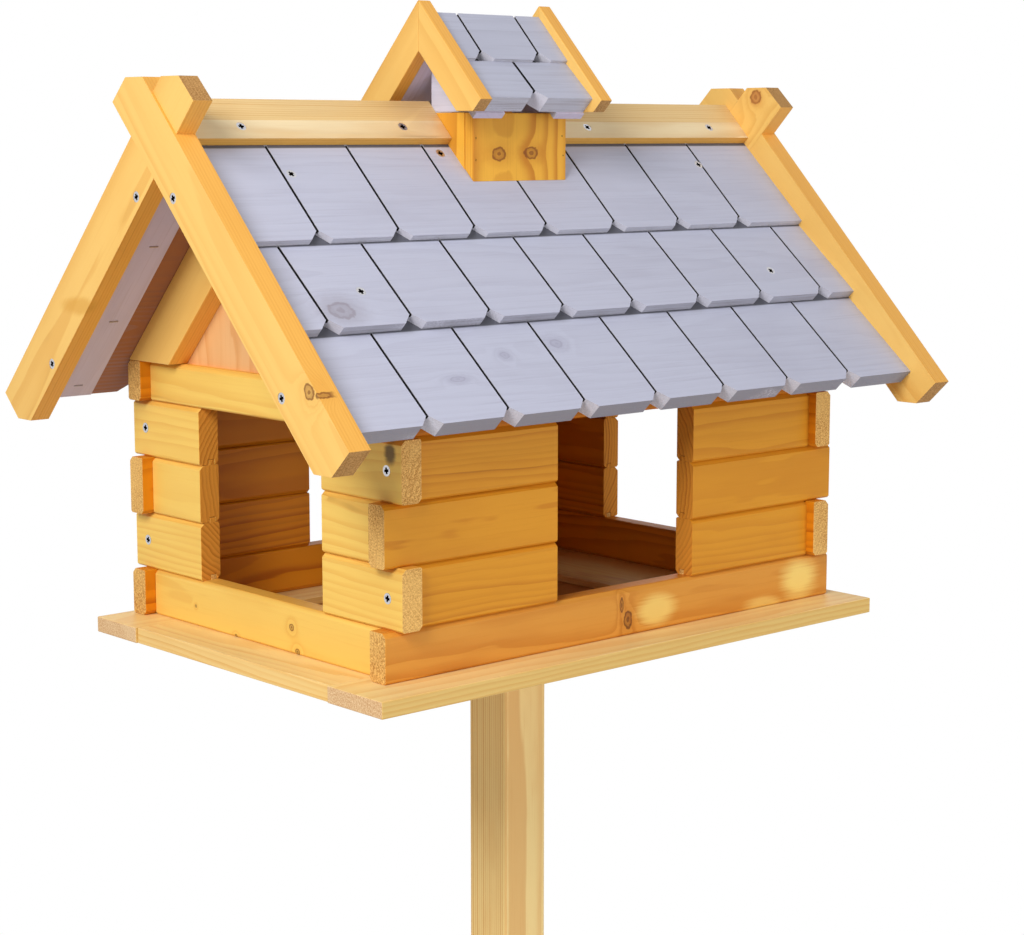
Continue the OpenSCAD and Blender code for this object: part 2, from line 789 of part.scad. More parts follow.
gable_panel(true);  // gable_panel_right
upper_course(false);  // shingles_front_upper
middle_course(false);  // shingles_front_middle
lower_course();  // shingles_front_lower
upper_course(true);  // shingles_back_upper
middle_course(true);  // shingles_back_middle
at_back() lower_course();  // shingles_back_lower
batten(false);  // batten_left_front
batten(true);  // batten_left_back
at_right() batten(false);  // batten_right_front
at_right() batten(true);  // batten_right_back
ridge_pair(-roof_half, chimney_x0 - end_gap);  // ridge_boards_left
ridge_pair(chimney_x1 + end_gap, roof_half);  // ridge_boards_right
barge(false);  // barge_left_front
barge(true);  // barge_left_back
at_right() barge(false);  // barge_right_front
at_right() barge(true);  // barge_right_back
chimney_board(chimney_x0, chimney_x1, -chimney_y, -chimney_y + chimney_t);  // chimney_front
chimney_board(chimney_x0, chimney_x1, chimney_y - chimney_t, chimney_y);  // chimney_back
chimney_board(chimney_x0, chimney_x0 + chimney_t, -chimney_y + chimney_t, chimney_y - chimney_t);  // chimney_left
chimney_board(chimney_x1 - chimney_t, chimney_x1, -chimney_y + chimney_t, chimney_y - chimney_t);  // chimney_right
on_cap() cap_slope();  // cap_shingles_front
on_cap() at_back() cap_slope();  // cap_shingles_back
on_cap() cap_barge_pair();  // cap_barge_left
on_cap() at_right() cap_barge_pair();  // cap_barge_right
color(grey_paint) on_cap() {  // cap_battens
    cap_batten();
    at_back() cap_batten();
    at_right() cap_batten();
    at_right() at_back() cap_batten();
}
color(grey_paint) {  // cap_blocks
    translate([chimney_x0, 0, 0]) cap_block();
    translate([chimney_x1 - block_t, 0, 0]) cap_block();
}
post();
foot_beam(0, foot_h / 2);  // foot_beam_x
foot_beam(90, 0);  // foot_beam_y
for (turn = [0, 90, 180, 270]) translate([post_x, post_y, 0]) rotate([0, 0, turn]) brace();  // foot_braces
color(tan_wood) {  // post_bearers
    bearer();
    translate([0, -post_w - bearer_w, 0]) bearer();
}
color(zinc) {  // house_screws
    wall_screws();
    barge_screws();
    at_right() barge_screws();
    roof_screws();
    ridge_screws();
}
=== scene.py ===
# %% [markdown]
# # A log cabin bird feeder, dressed in Blender
# The feeder stands on a square post. Its walls are small spruce logs, its roof is grey glazed board
# with saw cuts that look like shingles, and a loose cap sits on its chimney. The solids come from
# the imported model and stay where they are. This lesson gives them wood that follows each board,
# softens their edges, and adds the screws, pins and staples that hold them together.

# %% Load the frame
import bpy, math, random
from mathutils import Matrix, Vector


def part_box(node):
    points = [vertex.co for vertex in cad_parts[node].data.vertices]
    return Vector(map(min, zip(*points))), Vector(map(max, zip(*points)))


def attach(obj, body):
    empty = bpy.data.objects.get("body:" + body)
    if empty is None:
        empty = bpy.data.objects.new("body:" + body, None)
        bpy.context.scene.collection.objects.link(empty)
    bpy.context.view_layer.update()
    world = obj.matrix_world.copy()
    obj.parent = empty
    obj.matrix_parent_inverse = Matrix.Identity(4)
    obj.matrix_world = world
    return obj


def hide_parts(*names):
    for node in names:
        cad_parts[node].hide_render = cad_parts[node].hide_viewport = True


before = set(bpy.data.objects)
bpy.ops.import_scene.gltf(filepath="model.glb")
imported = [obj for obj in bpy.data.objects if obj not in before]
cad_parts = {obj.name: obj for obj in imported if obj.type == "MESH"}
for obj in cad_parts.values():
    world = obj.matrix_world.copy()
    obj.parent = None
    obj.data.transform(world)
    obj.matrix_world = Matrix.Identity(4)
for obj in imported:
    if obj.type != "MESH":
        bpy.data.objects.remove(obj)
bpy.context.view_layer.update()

scene = bpy.context.scene
MM = 0.001

# %% [markdown]
# ## Sizes that the pieces share
# The scene can't read the part's source, so the few sizes that place screws, pins and grain are
# written here once, in millimetres. The roof is described as a joiner would: `s` is the distance
# down the slope from the ridge line and `k` is the height square to the slope. Each roof course
# ends at its own `COURSE_END` and is `COURSE_THICK` thick there; the upper one starts at `SEAT_END`,
# which isn't the same on the front (False) and on the back (True), as `DOWN` and `OUT` aren't.

# %% Shared sizes and the roof's own directions
BASE_TOP, RAIL_H, LOG_H, LOG_T = 700.0, 37.0, 45.5, 18.0
HALF_LEN, HALF_DEPTH = 227.5, 163.3
PITCH = math.radians(46)
PEAK_Z, CAP_PEAK = 1112.43, 1185.44
ROOF_HALF, UNDER = 296.2, 27.5
BARGE_T, RIDGE_T, BATTEN_T, KERF_DEPTH, CAP_KERF_K = 18.0, 7.0, 11.5, 3.4, -9.6
COURSE_END, COURSE_THICK, LAP_K = (128.0, 211.0, 300.5), (10.8, 13.4, 14.2), -22.1
SEAT_K, SEAT_END = -20.4, {False: 34.0, True: 62.73}
CAP_X, CAP_Y = -4.0, -4.0
POST_X, POST_Y = 4.8, -19.9
LEFT_FACE, FRONT_FACE, BARGE_FACE = -HALF_LEN, -HALF_DEPTH, -ROOF_HALF - BARGE_T

DOWN_FRONT = Vector((0, -math.cos(PITCH), -math.sin(PITCH)))
OUT_FRONT = Vector((0, -math.sin(PITCH), math.cos(PITCH)))
DOWN, OUT = ({False: v, True: Vector((0, -v.y, v.z))} for v in (DOWN_FRONT, OUT_FRONT))
HANDS, ENDS = (("left", -1), ("right", 1)), (("front", False), ("back", True))


def on_slope(x, s, k, back=False, peak=PEAK_Z, middle=0.0):
    """A point of the front or back slope, in millimetres."""
    point = Vector((x, 0, peak)) + DOWN_FRONT * s + OUT_FRONT * k
    point.y = middle + (-point.y if back else point.y)
    return point


def on_cap(x, s, k, back=False):
    """A point of the loose cap, which stands a few millimetres off the middle of the chimney."""
    return on_slope(CAP_X + x, s, k, back, peak=CAP_PEAK, middle=CAP_Y)


print("ridge line at", PEAK_Z, "mm, front slope faces", [round(v, 3) for v in OUT_FRONT])

# %% [markdown]
# ## The camera
# The photograph looks at the left front corner from a little above the eaves. The camera stands at
# the place worked out from the corners of the logs, with the same field of view.

# %% Camera
CAMERA_AT = Vector((-1.18248, -1.35525, 1.08291))
LOOKING = Vector((0.65869, 0.73764, -0.14837))

camera_data = bpy.data.cameras.new("camera")
camera_data.lens, camera_data.sensor_width, camera_data.sensor_fit = 78.12, 36, "HORIZONTAL"
camera = bpy.data.objects.new("camera", camera_data)
camera.location = CAMERA_AT
camera.rotation_euler = LOOKING.to_track_quat("-Z", "Y").to_euler()
scene.collection.objects.link(camera)
scene.camera = camera
scene.view_settings.view_transform = "Standard"
print("camera at", tuple(CAMERA_AT))

# %% [markdown]
# ## Small helpers for node trees
# A material is a tree of nodes. Typing each node and link by hand is slow, so small helpers add a
# node, fill its inputs in order with links or plain values (None leaves one alone), and do sums.

# %% Node helpers
def fill(tree, socket, value):
    if isinstance(value, bpy.types.NodeSocket):
        tree.links.new(value, socket)
    elif value is not None:
        socket.default_value = value


def add_node(tree, kind, *values, **settings):
    node = tree.nodes.new("ShaderNode" + kind)
    for key, value in settings.items():
        setattr(node, key, value)
    for socket, value in zip(node.inputs, values):
        fill(tree, socket, value)
    return node


def sums(tree, operation, *values):
    return add_node(tree, "Math", *values, operation=operation).outputs[0]


def times(tree, a, b):
    return sums(tree, "MULTIPLY", a, b)


def scaled(tree, value, factor, plus):
    return sums(tree, "MULTIPLY_ADD", value, factor, plus)


def vector_sums(tree, operation, *values):
    node = add_node(tree, "VectorMath", *values, operation=operation)
    return node.outputs["Value" if operation in ("LENGTH", "DOT_PRODUCT") else "Vector"]


def dot(tree, vector, direction):
    return vector_sums(tree, "DOT_PRODUCT", vector, tuple(direction))


def parts(tree, vector):
    return add_node(tree, "SeparateXYZ", vector).outputs


def joined(tree, x, y, z):
    return add_node(tree, "CombineXYZ", x, y, z).outputs[0]


def smooth(tree, value, low, high):
    """0 below low and 1 above high, with a soft step between them."""
    return add_node(tree, "MapRange", value, low, high, interpolation_type="SMOOTHSTEP").outputs[0]


def blend(tree, factor, a, b, kind="MIX"):
    """Mixes two colours."""
    node = add_node(tree, "Mix", data_type="RGBA", blend_type=kind)
    fill(tree, node.inputs["Factor"], factor)
    for socket, value in zip([s for s in node.inputs if s.type == "RGBA"], (a, b)):
        fill(tree, socket, value)
    return [s for s in node.outputs if s.type == "RGBA"][0]


def noise(tree, vector, scale, detail=2.0, rough=0.5):
    """A noise of one scale, or of one for each axis."""
    if isinstance(scale, tuple):
        vector, scale = vector_sums(tree, "MULTIPLY", vector, scale), 1.0
    return add_node(tree, "TexNoise", vector, None, scale, detail, rough).outputs[0]


def new_group(name, inputs, outputs):
    """A node group, its inputs and outputs. A number in place of a kind is a value's default."""
    tree = bpy.data.node_groups.new(name, "ShaderNodeTree")
    for direction, sockets in (("INPUT", inputs), ("OUTPUT", outputs)):
        for title, given in sockets.items():
            kind = given if isinstance(given, str) else "Float"
            socket = tree.interface.new_socket(title, in_out=direction, socket_type="NodeSocket" + kind)
            if kind is not given:
                socket.default_value = given
    return tree, tree.nodes.new("NodeGroupInput").outputs, tree.nodes.new("NodeGroupOutput").inputs


def add_group(tree, group, **values):
    node = tree.nodes.new("ShaderNodeGroup")
    node.node_tree = group
    for title, value in values.items():
        fill(tree, node.inputs[title.replace("_", " ")], value)
    return node.outputs


def rgb(red, green, blue):
    """A colour as it looks on the screen, 0 to 255, turned into the linear values Blender wants."""
    def linear(v):
        v /= 255
        return v / 12.92 if v <= 0.04045 else ((v + 0.055) / 1.055) ** 2.4
    return (linear(red), linear(green), linear(blue), 1)


def hypotenuse(tree, a, b):
    squares = [times(tree, side, side) for side in (a, b)]
    return sums(tree, "SQRT", sums(tree, "ADD", *squares))


print("helpers ready")

# %% [markdown]
# ## Wood that is solid
# A tree grows in rings round its pith. If the pattern is made in three dimensions, as distance from
# a slightly tilted pith line, each face of a board shows what a saw would find there: long lines,
# pointed flames, or arcs on the end. Every board gets its own seed, so no two look alike.

# %% The rings and fibres of a board
GRAIN = ("Late", "Fibre", "Mottle", "Speckle")


def build_rings():
    tree, given, made = new_group("board_rings", {
        "Vector": "Vector", "Seed": 0.0, "Ring": 0.0036, "Bend": 0.0, "Wander": 0.6, "Depth": 0.05,
        "Drift": 1.0}, dict.fromkeys(GRAIN, "Float"))
    chance = add_node(tree, "TexWhiteNoise", None, given["Seed"], noise_dimensions="1D")
    dice = parts(tree, chance.outputs["Color"])
    part = parts(tree, given["Vector"])
    # The pith lies between a half and one and a half of Depth under the face and drifts sideways
    drift = times(tree, part[0], given["Drift"])
    sway = times(tree, drift, scaled(tree, dice[2], 0.09, -0.045))
    pith_y = scaled(tree, sums(tree, "SUBTRACT", dice[0], 0.5), 0.044, sway)
    under = times(tree, given["Depth"], scaled(tree, dice[1], -1.0, -0.5))
    pith_z = scaled(tree, drift, scaled(tree, dice[0], 0.1, -0.05), under)
    across = sums(tree, "SUBTRACT", part[1], pith_y)
    deep = sums(tree, "SUBTRACT", part[2], pith_z)
    radius = hypotenuse(tree, across, deep)
    shift = joined(tree, times(tree, given["Seed"], 0.73), given["Seed"], 0.0)
    place = vector_sums(tree, "ADD", given["Vector"], shift)
    wobble = noise(tree, place, (5, 34, 34), 3.0)
    wander = times(tree, sums(tree, "SUBTRACT", wobble, 0.5), times(tree, given["Wander"], 4))
    turns = sums(tree, "ADD", sums(tree, "DIVIDE", radius, given["Ring"]), wander)
    turns = sums(tree, "ADD", turns, given["Bend"])
    phase = sums(tree, "FRACT", turns)
    rise = smooth(tree, phase, 0.25, 0.9)
    fall = smooth(tree, phase, 1.0, 0.93)
    # Some years grow darker late wood than others
    year = sums(tree, "ADD", sums(tree, "FLOOR", turns), given["Seed"])
    luck = add_node(tree, "TexWhiteNoise", None, year, noise_dimensions="1D").outputs["Value"]
    strong = scaled(tree, luck, 0.75, 0.25)
    fill(tree, made["Late"], times(tree, times(tree, rise, fall), strong))
    fill(tree, made["Fibre"], noise(tree, place, (14, 620, 620), 3.0, 0.6))
    fill(tree, made["Mottle"], noise(tree, place, (7, 22, 22), 3.0, 0.55))
    fill(tree, made["Speckle"], noise(tree, place, (500, 900, 900), 3.0, 0.7))
    return tree


RINGS = build_rings()
print("group", RINGS.name)

# %% [markdown]
# ## Knots
# A knot is a branch that grew through the board. The fibres swell round it and its heart is darker,
# with rings of its own. The group gives a heart mask, a soft halo, and a bend that pushes the
# board's rings aside.

# %% A knot
def build_knot():
    tree, given, made = new_group("knot", {
        "Vector": "Vector", "Place": "Vector", "Radius": 0.004, "Long": 1.3, "Push": 2.4},
        dict.fromkeys(("Heart", "Halo", "Bend"), "Float"))
    away = vector_sums(tree, "SUBTRACT", given["Vector"], given["Place"])
    ripple = noise(tree, given["Vector"], 260.0, 2.0)
    part = parts(tree, away)
    along = sums(tree, "DIVIDE", part[0], given["Long"])
    flat = hypotenuse(tree, along, part[1])
    # A knot seen on one face doesn't reach through to a face 20 mm away
    depth = smooth(tree, sums(tree, "ABSOLUTE", part[2]), 0.016, 0.009)
    near = sums(tree, "DIVIDE", flat, given["Radius"])
    near = scaled(tree, sums(tree, "SUBTRACT", ripple, 0.5), 0.7, near)
    own_rings = sums(tree, "FRACT", times(tree, near, 2.6))
    solid = times(tree, smooth(tree, near, 1.12, 0.82), depth)
    # Bark left round the branch draws a dark rim, and its own pith a dark core
    off_rim = sums(tree, "ABSOLUTE", sums(tree, "SUBTRACT", near, 0.95))
    rim = times(tree, smooth(tree, off_rim, 0.26, 0.08), depth)
    core = scaled(tree, smooth(tree, near, 0.42, 0.2), 0.4, 0.28)
    inside = times(tree, solid, scaled(tree, own_rings, 0.22, core))
    fill(tree, made["Heart"], sums(tree, "MAXIMUM", inside, times(tree, rim, 0.8)))
    fill(tree, made["Halo"], times(tree, smooth(tree, near, 3.2, 0.9), depth))
    swell = sums(tree, "EXPONENT", times(tree, times(tree, near, near), -0.16))
    fill(tree, made["Bend"], times(tree, times(tree, swell, depth), given["Push"]))
    return tree


KNOT = build_knot()
print("group", KNOT.name)

# %% [markdown]
# ## Pieces that come in mirrored pairs, and logs that share a node
# Some nodes hold a front and a back leg, or three logs one above another. A group folds the back
# leg onto the front one. A few sums count the log that a point lies in, so that each gets its own
# seed, and others fold the four braces of the foot, which stand in a cross, onto one.

# %% Folding pairs and counting logs
def build_fold():
    tree, given, made = new_group("fold_pair", {"Vector": "Vector", "Normal": "Vector", "Middle": 0.0},
                                  {"Vector": "Vector", "Normal": "Vector", "Side": "Float"})
    part = parts(tree, given["Vector"])
    facing = parts(tree, given["Normal"])
    offset = sums(tree, "SUBTRACT", part[1], given["Middle"])
    side = sums(tree, "GREATER_THAN", offset, 0.0)
    turn = scaled(tree, side, -2.0, 1.0)
    folded = scaled(tree, offset, turn, given["Middle"])
    fill(tree, made["Vector"], joined(tree, part[0], folded, part[2]))
    fill(tree, made["Normal"], joined(tree, facing[0], times(tree, facing[1], turn), facing[2]))
    fill(tree, made["Side"], side)
    return tree


def log_row(tree, place):
    """The number of the log that a point lies in, counted from the rail."""
    over_rail = sums(tree, "SUBTRACT", parts(tree, place)[2], (BASE_TOP + RAIL_H) * MM)
    return sums(tree, "FLOOR", sums(tree, "DIVIDE", over_rail, LOG_H * MM))


def star_coordinates(tree, place, normal, middle):
    """Folds the four arms of a cross onto one. Gives (distance out, across, up) and the normal so."""
    part = parts(tree, vector_sums(tree, "SUBTRACT", place, middle))
    facing = parts(tree, normal)
    sizes = [sums(tree, "ABSOLUTE", part[axis]) for axis in (0, 1)]
    on_x = sums(tree, "GREATER_THAN", sizes[0], sizes[1])

    def pick(if_x, if_y):
        return scaled(tree, on_x, sums(tree, "SUBTRACT", if_x, if_y), if_y)

    outward = [times(tree, facing[axis], sums(tree, "SIGN", part[axis])) for axis in (0, 1)]
    arm = joined(tree, pick(sizes[0], sizes[1]), pick(part[1], part[0]), part[2])
    return arm, joined(tree, pick(outward[0], outward[1]), pick(facing[1], facing[0]), facing[2])


FOLD = build_fold()
print("group", FOLD.name)

# %% [markdown]
# ## Honey glaze
# The logs are dipped in a thin honey glaze. It stays clear on the faces, sinks deep into the open
# end grain, and leaves the sawn corners speckled light and dark. This group mixes those colours
# from the masks of the groups before it.

# %% The glaze over the wood
CLOUDS = dict.fromkeys(("Fibre", "Mottle", "Speckle"), 0.5)
COATING = {"Color": "Color", "Roughness": "Float", "Height": "Float"}


def build_glaze():
    masks = dict.fromkeys(("Late", "Heart", "Halo", "End"), 0.0)
    colours = dict.fromkeys(("Early wood", "Late wood", "Knot wood", "End light", "End dark"), "Color")
    tree, given, made = new_group("honey_glaze", {**masks, **CLOUDS, **colours}, COATING)
    late, fibre, mottle, speckle = (given[title] for title in GRAIN)
    face = blend(tree, late, given["Early wood"], given["Late wood"])
    streak = times(tree, smooth(tree, fibre, 0.5, 0.78), 0.3)
    face = blend(tree, streak, face, given["Late wood"])
    deep = times(tree, smooth(tree, mottle, 0.46, 0.74), 0.35)
    face = blend(tree, deep, face, given["Late wood"])
    face = blend(tree, times(tree, given["Halo"], 0.4), face, given["Late wood"])
    # Here and there the last wood of a year is rich in resin and draws a thin dark line
    resin = smooth(tree, mottle, 0.5, 0.62)
    line = times(tree, smooth(tree, late, 0.82, 1.0), resin)
    face = blend(tree, times(tree, line, 0.22), face, given["Knot wood"])
    face = blend(tree, given["Heart"], face, given["Knot wood"])
    grains = smooth(tree, speckle, 0.3, 0.66)
    grains = times(tree, grains, scaled(tree, late, -0.4, 1.0))
    sawn = blend(tree, grains, given["End dark"], given["End light"])
    worn = times(tree, smooth(tree, mottle, 0.42, 0.62), 0.4)
    sawn = blend(tree, worn, sawn, given["End light"])
    fill(tree, made["Color"], blend(tree, given["End"], face, sawn))
    fill(tree, made["Roughness"], scaled(tree, given["End"], 0.3, scaled(tree, fibre, 0.16, 0.36)))
    relief = scaled(tree, late, 0.35, times(tree, fibre, 0.5))
    rough_end = times(tree, speckle, times(tree, given["End"], 1.6))
    fill(tree, made["Height"], sums(tree, "ADD", relief, rough_end))
    return tree


GLAZE = build_glaze()
print("group", GLAZE.name)

# %% [markdown]
# ## Laying a pattern on a board
# Every board needs the same start: a matrix from the direction of its grain and the face that shows,
# and a Mapping node of the texture kind, which turns object coordinates into the board's own. The
# knots are placed in the same step. Masks from the normal tell faces, edges and ends apart.

# %% Helpers for a board's material
SEEDS = iter(range(3, 900, 7))


def start_material(name):
    """A new material, its tree and its shader, and the place and normal that patterns read."""
    material = bpy.data.materials.new(name)
    material.use_nodes = True
    tree = material.node_tree
    source = add_node(tree, "TexCoord").outputs
    return material, tree, tree.nodes["Principled BSDF"], source["Object"], source["Normal"]


def board_matrix(along, face, centre):
    """Columns are the grain, the width and the face; the origin is the middle of the board."""
    along, face = Vector(along).normalized(), Vector(face).normalized()
    turn = Matrix((along, face.cross(along), face)).transposed()
    return Matrix.Translation(centre) @ turn.to_4x4()


def lay_board(tree, place, matrix, knots, push=2.4):
    """The place on the board, and the heart, halo and bend of its knots (place, radius, length)."""
    board = add_node(tree, "Mapping", place, matrix.to_translation(), matrix.to_euler(),
                     vector_type="TEXTURE").outputs[0]
    masks = [0.0, 0.0, 0.0]
    for at, radius, long in knots:
        found = add_group(tree, KNOT, Vector=board, Place=tuple(matrix.inverted() @ (Vector(at) * MM)),
                          Radius=radius * MM, Long=long, Push=push)
        for i, (title, how) in enumerate((("Heart", "MAXIMUM"), ("Halo", "MAXIMUM"), ("Bend", "ADD"))):
            masks[i] = found[title] if masks[i] == 0.0 else sums(tree, how, masks[i], found[title])
    return board, *masks


def fold_over(tree, place, normal, middle, seed):
    """Folds the back leg of a pair onto the front one, and gives each leg a seed of its own."""
    pair = add_group(tree, FOLD, Vector=place, Normal=normal, Middle=middle)
    return pair["Vector"], pair["Normal"], sums(tree, "ADD", pair["Side"], seed)


def facing_share(tree, normal, direction, low=0.6, high=0.9, both=False):
    """1 where a face looks along a direction, 0 where it looks elsewhere."""
    share = dot(tree, normal, Vector(direction).normalized())
    if both:
        share = sums(tree, "ABSOLUTE", share)
    return smooth(tree, share, low, high)


def grain_of(rings):
    return {title: rings[title] for title in GRAIN}


def finish_coat(tree, shader, colour, coat, shine, relief):
    """Wires a finish into the shader. Its height becomes a bump of half a millimetre at most."""
    bump = add_node(tree, "Bump")
    for title, value in (("Strength", relief), ("Distance", 0.5 * MM), ("Height", coat["Height"])):
        fill(tree, bump.inputs[title], value)
    fill(tree, shader.inputs["Base Color"], colour)
    fill(tree, shader.inputs["Roughness"], coat["Roughness"])
    fill(tree, shader.inputs["Normal"], bump.outputs[0])
    shader.inputs["Specular IOR Level"].default_value = shine


print("board helpers ready")

# %% [markdown]
# ## One wood material per board
# A maker would say for each board which way it was cut. So does `wood`: it takes the direction of
# the grain, the face that shows and the colours, and draws a seed. The colour starts as the glaze
# over the rings, and the rest is one layer each: thirsty narrow faces, painted shade on the lower
# edge of a ridge board and on the faces inside the house, planed jambs, stains, and painted patches
# of sunlight and shade.

# %% Wood material builder
HONEY = dict(early=rgb(244, 182, 84), late=rgb(226, 158, 62), knot=rgb(96, 46, 14),
             end_light=rgb(255, 208, 124), end_dark=rgb(176, 106, 34), side=(0.92, 0.76, 0.54),
             inner_light=rgb(228, 142, 22), inner_dark=rgb(186, 96, 8))


def wood(name, along, face, centre, palette=HONEY, knots=(), fold=None, rows=False, ring=0.0036,
         wander=0.6, depth=0.05, drift=1.0, inner_end=None, tinted_sides=True, lip=None, inner=False,
         spots=(), push=2.4, star=None):
    """A material for one board, for logs in a pile, for a mirrored pair or for a star of four."""
    material, tree, shader, place, normal = start_material(name)
    seed = float(next(SEEDS))
    if star is not None:
        place, normal = star_coordinates(tree, place, normal, star)
    if fold is not None:
        place, normal, seed = fold_over(tree, place, normal, fold, seed)
    if rows:
        seed = sums(tree, "ADD", log_row(tree, place), seed)
    board, heart, halo, bend = lay_board(tree, place, board_matrix(along, face, centre), knots, push)
    rings = add_group(tree, RINGS, Vector=board, Seed=seed, Ring=ring, Bend=bend, Wander=wander,
                      Depth=depth, Drift=drift)
    end = facing_share(tree, normal, along, both=True)
    coat = add_group(tree, GLAZE, **grain_of(rings), Heart=heart, Halo=halo, End=end,
                     Early_wood=palette["early"], Late_wood=palette["late"], Knot_wood=palette["knot"],
                     End_light=palette["end_light"], End_dark=palette["end_dark"])
    colour = coat["Color"]
    if tinted_sides:
        # The narrow faces drank more glaze than the planed ones
        narrow = facing_share(tree, normal, Vector(face).cross(Vector(along)), both=True)
        colour = blend(tree, narrow, colour, palette["side"] + (1,), "MULTIPLY")
    if lip is not None:
        # The lower edge of a ridge board is darker still, as painted shade
        direction, tint = lip
        lower = facing_share(tree, normal, direction, 0.86, 0.96)
        colour = blend(tree, lower, colour, tint + (1,), "MULTIPLY")
    if inner:
        # Faces inside the house get a darker, redder copy of the glaze, as painted shade
        within = facing_share(tree, normal, -Vector(face))
        inside_shade_colour = blend(tree, rings["Late"], palette["inner_light"], palette["inner_dark"])
        colour = blend(tree, within, colour, inside_shade_colour)
    if inner_end is not None:
        # The ends beside an opening are planed smooth and take a deeper, even stain
        from_middle = sums(tree, "ABSOLUTE", dot(tree, place, Vector(along).normalized()))
        jamb = sums(tree, "LESS_THAN", from_middle, inner_end)
        smooth_end = blend(tree, rings["Late"], palette["jamb_light"], palette["jamb_dark"])
        colour = blend(tree, times(tree, jamb, end), colour, smooth_end)
    for at, size, tint, strength in spots:
        # Soft stains, painted sunlight and painted shade; `size` is the half width along X, Y and Z in
        # millimetres
        away = vector_sums(tree, "SUBTRACT", place, tuple(Vector(at) * MM))
        reach = vector_sums(tree, "LENGTH", vector_sums(tree, "DIVIDE", away, tuple(Vector(size) * MM)))
        for title, ragged in (("Mottle", 1.6), ("Fibre", 0.5)):
            reach = scaled(tree, sums(tree, "SUBTRACT", rings[title], 0.5), ragged, reach)
        shown = times(tree, smooth(tree, reach, 1.0, 0.35), strength)
        colour = blend(tree, shown, colour, tint)
    finish_coat(tree, shader, colour, coat, shine=0.22, relief=0.35)
    return material


print("wood builder ready")

# %% [markdown]
# ## Dressing a CAD node
# A CAD node keeps its mesh. Its material goes into its slots, and modifiers may finish it: Weld
# joins its loose triangles, Decimate in planar mode turns them back into whole faces, and Bevel
# takes the sharpness off the edges, as sanding does on the real boards.

# %% Dress helper
def dress(name, coat, along, face, palette, round_by=0.0009, centre=None, **look):
    """Gives a node its `wood` or `grey_wood`, laid round its middle or a centre in mm, and soft edges."""
    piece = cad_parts[name]
    middle = sum(map(Vector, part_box(name)), Vector()) / 2 if centre is None else centre * MM
    piece.data.materials.clear()
    piece.data.materials.append(coat(name, along, face, middle, palette, **look))
    if round_by:
        weld = piece.modifiers.new("weld", "WELD")
        weld.merge_threshold = 0.00001
        flat = piece.modifiers.new("whole_faces", "DECIMATE")
        flat.decimate_type, flat.angle_limit = "DISSOLVE", math.radians(0.5)
        soft = piece.modifiers.new("soft_edges", "BEVEL")
        soft.width, soft.segments = round_by, 2
        soft.limit_method, soft.angle_limit = "ANGLE", math.radians(35)


X, Y, Z = Vector((1, 0, 0)), Vector((0, 1, 0)), Vector((0, 0, 1))
SIDES = {"left": (Y, -X), "right": (Y, X), "front": (X, -Y), "back": (X, Y)}
print("dress helper ready")

# %% [markdown]
# ## The base, the sills and the walls
# The left wall stands in the light and gets a pale, lit copy of the honey glaze as painted light; the
# front, right and back walls get a deeper copy as painted shade, and the top logs under the eaves a
# deeper one still. The base boards are the palest, almost bare spruce, with brown painted shade
# inside the house.

# %% Base and wall woods
PALE = dict(HONEY, early=rgb(253, 222, 154), late=rgb(242, 198, 122), knot=rgb(130, 84, 44),
            end_light=rgb(250, 216, 166), end_dark=rgb(206, 150, 98), side=(1.0, 0.9, 0.74))
# A still deeper copy of the glaze for the top logs, as painted shade under the eaves
SHADED_BEAM = dict(HONEY, early=rgb(206, 122, 8), late=rgb(186, 102, 6))
RAIL = dict(HONEY, early=rgb(226, 156, 62), late=rgb(206, 130, 42), end_dark=rgb(176, 110, 42))
# Lit and shaded copies of the honey glaze: painted light on the left, painted shade elsewhere
LIT_HONEY = dict(HONEY, early=rgb(252, 209, 106), late=rgb(242, 189, 88),
             jamb_light=rgb(236, 160, 60), jamb_dark=rgb(198, 118, 34))
SHADED_HONEY = dict(HONEY, early=rgb(226, 154, 38), late=rgb(208, 132, 26),
            jamb_light=rgb(230, 152, 52), jamb_dark=rgb(194, 112, 30))

PALE_EDGE = dict(PALE, side=(0.84, 0.76, 0.56))
# Brown painted shade on the base boards inside the house
painted_shade_inside = [((0, 0, BASE_TOP), (196, 122, 40), rgb(190, 112, 48), 0.85)]
for side in ("front", "back", "left", "right"):
    along = SIDES[side][0]
    dress(f"base_{side}_board", wood, along, Z, PALE_EDGE if along is X else PALE,
          depth=0.08, drift=0.5, spots=painted_shade_inside)

left_knots = [((LEFT_FACE, -39.7, 720.0), 2.6, 1.0), ((LEFT_FACE, -46.6, 702.5), 2.4, 1.0),
              ((LEFT_FACE, 87.4, 715.9), 1.2, 1.0), ((LEFT_FACE, 33.1, 701.0), 1.4, 1.2)]
front_knots = [((1.9, FRONT_FACE, 712.6), 6.6, 0.6), ((-5.0, FRONT_FACE, 725.0), 5.4, 0.34)]
# Painted patches of sunlight on the front rail
painted_sunlight = rgb(255, 220, 124)
painted_sun_patches = [((34, FRONT_FACE, 716), (26, 20, 17), painted_sunlight, 0.8),
               ((203, FRONT_FACE, 718), (30, 20, 24), painted_sunlight, 1.0),
               ((158, FRONT_FACE, 700), (26, 20, 12), painted_sunlight, 0.6)]
for side, palette, knots, spots in (("left", LIT_HONEY, left_knots, ()), ("right", SHADED_HONEY, (), ()),
                                    ("front", RAIL, front_knots, painted_sun_patches), ("back", SHADED_HONEY, (), ())):
    dress(f"rail_{side}", wood, *SIDES[side], palette, knots=knots, depth=0.07, drift=0.5,
          inner=True, spots=spots, push=1.6)

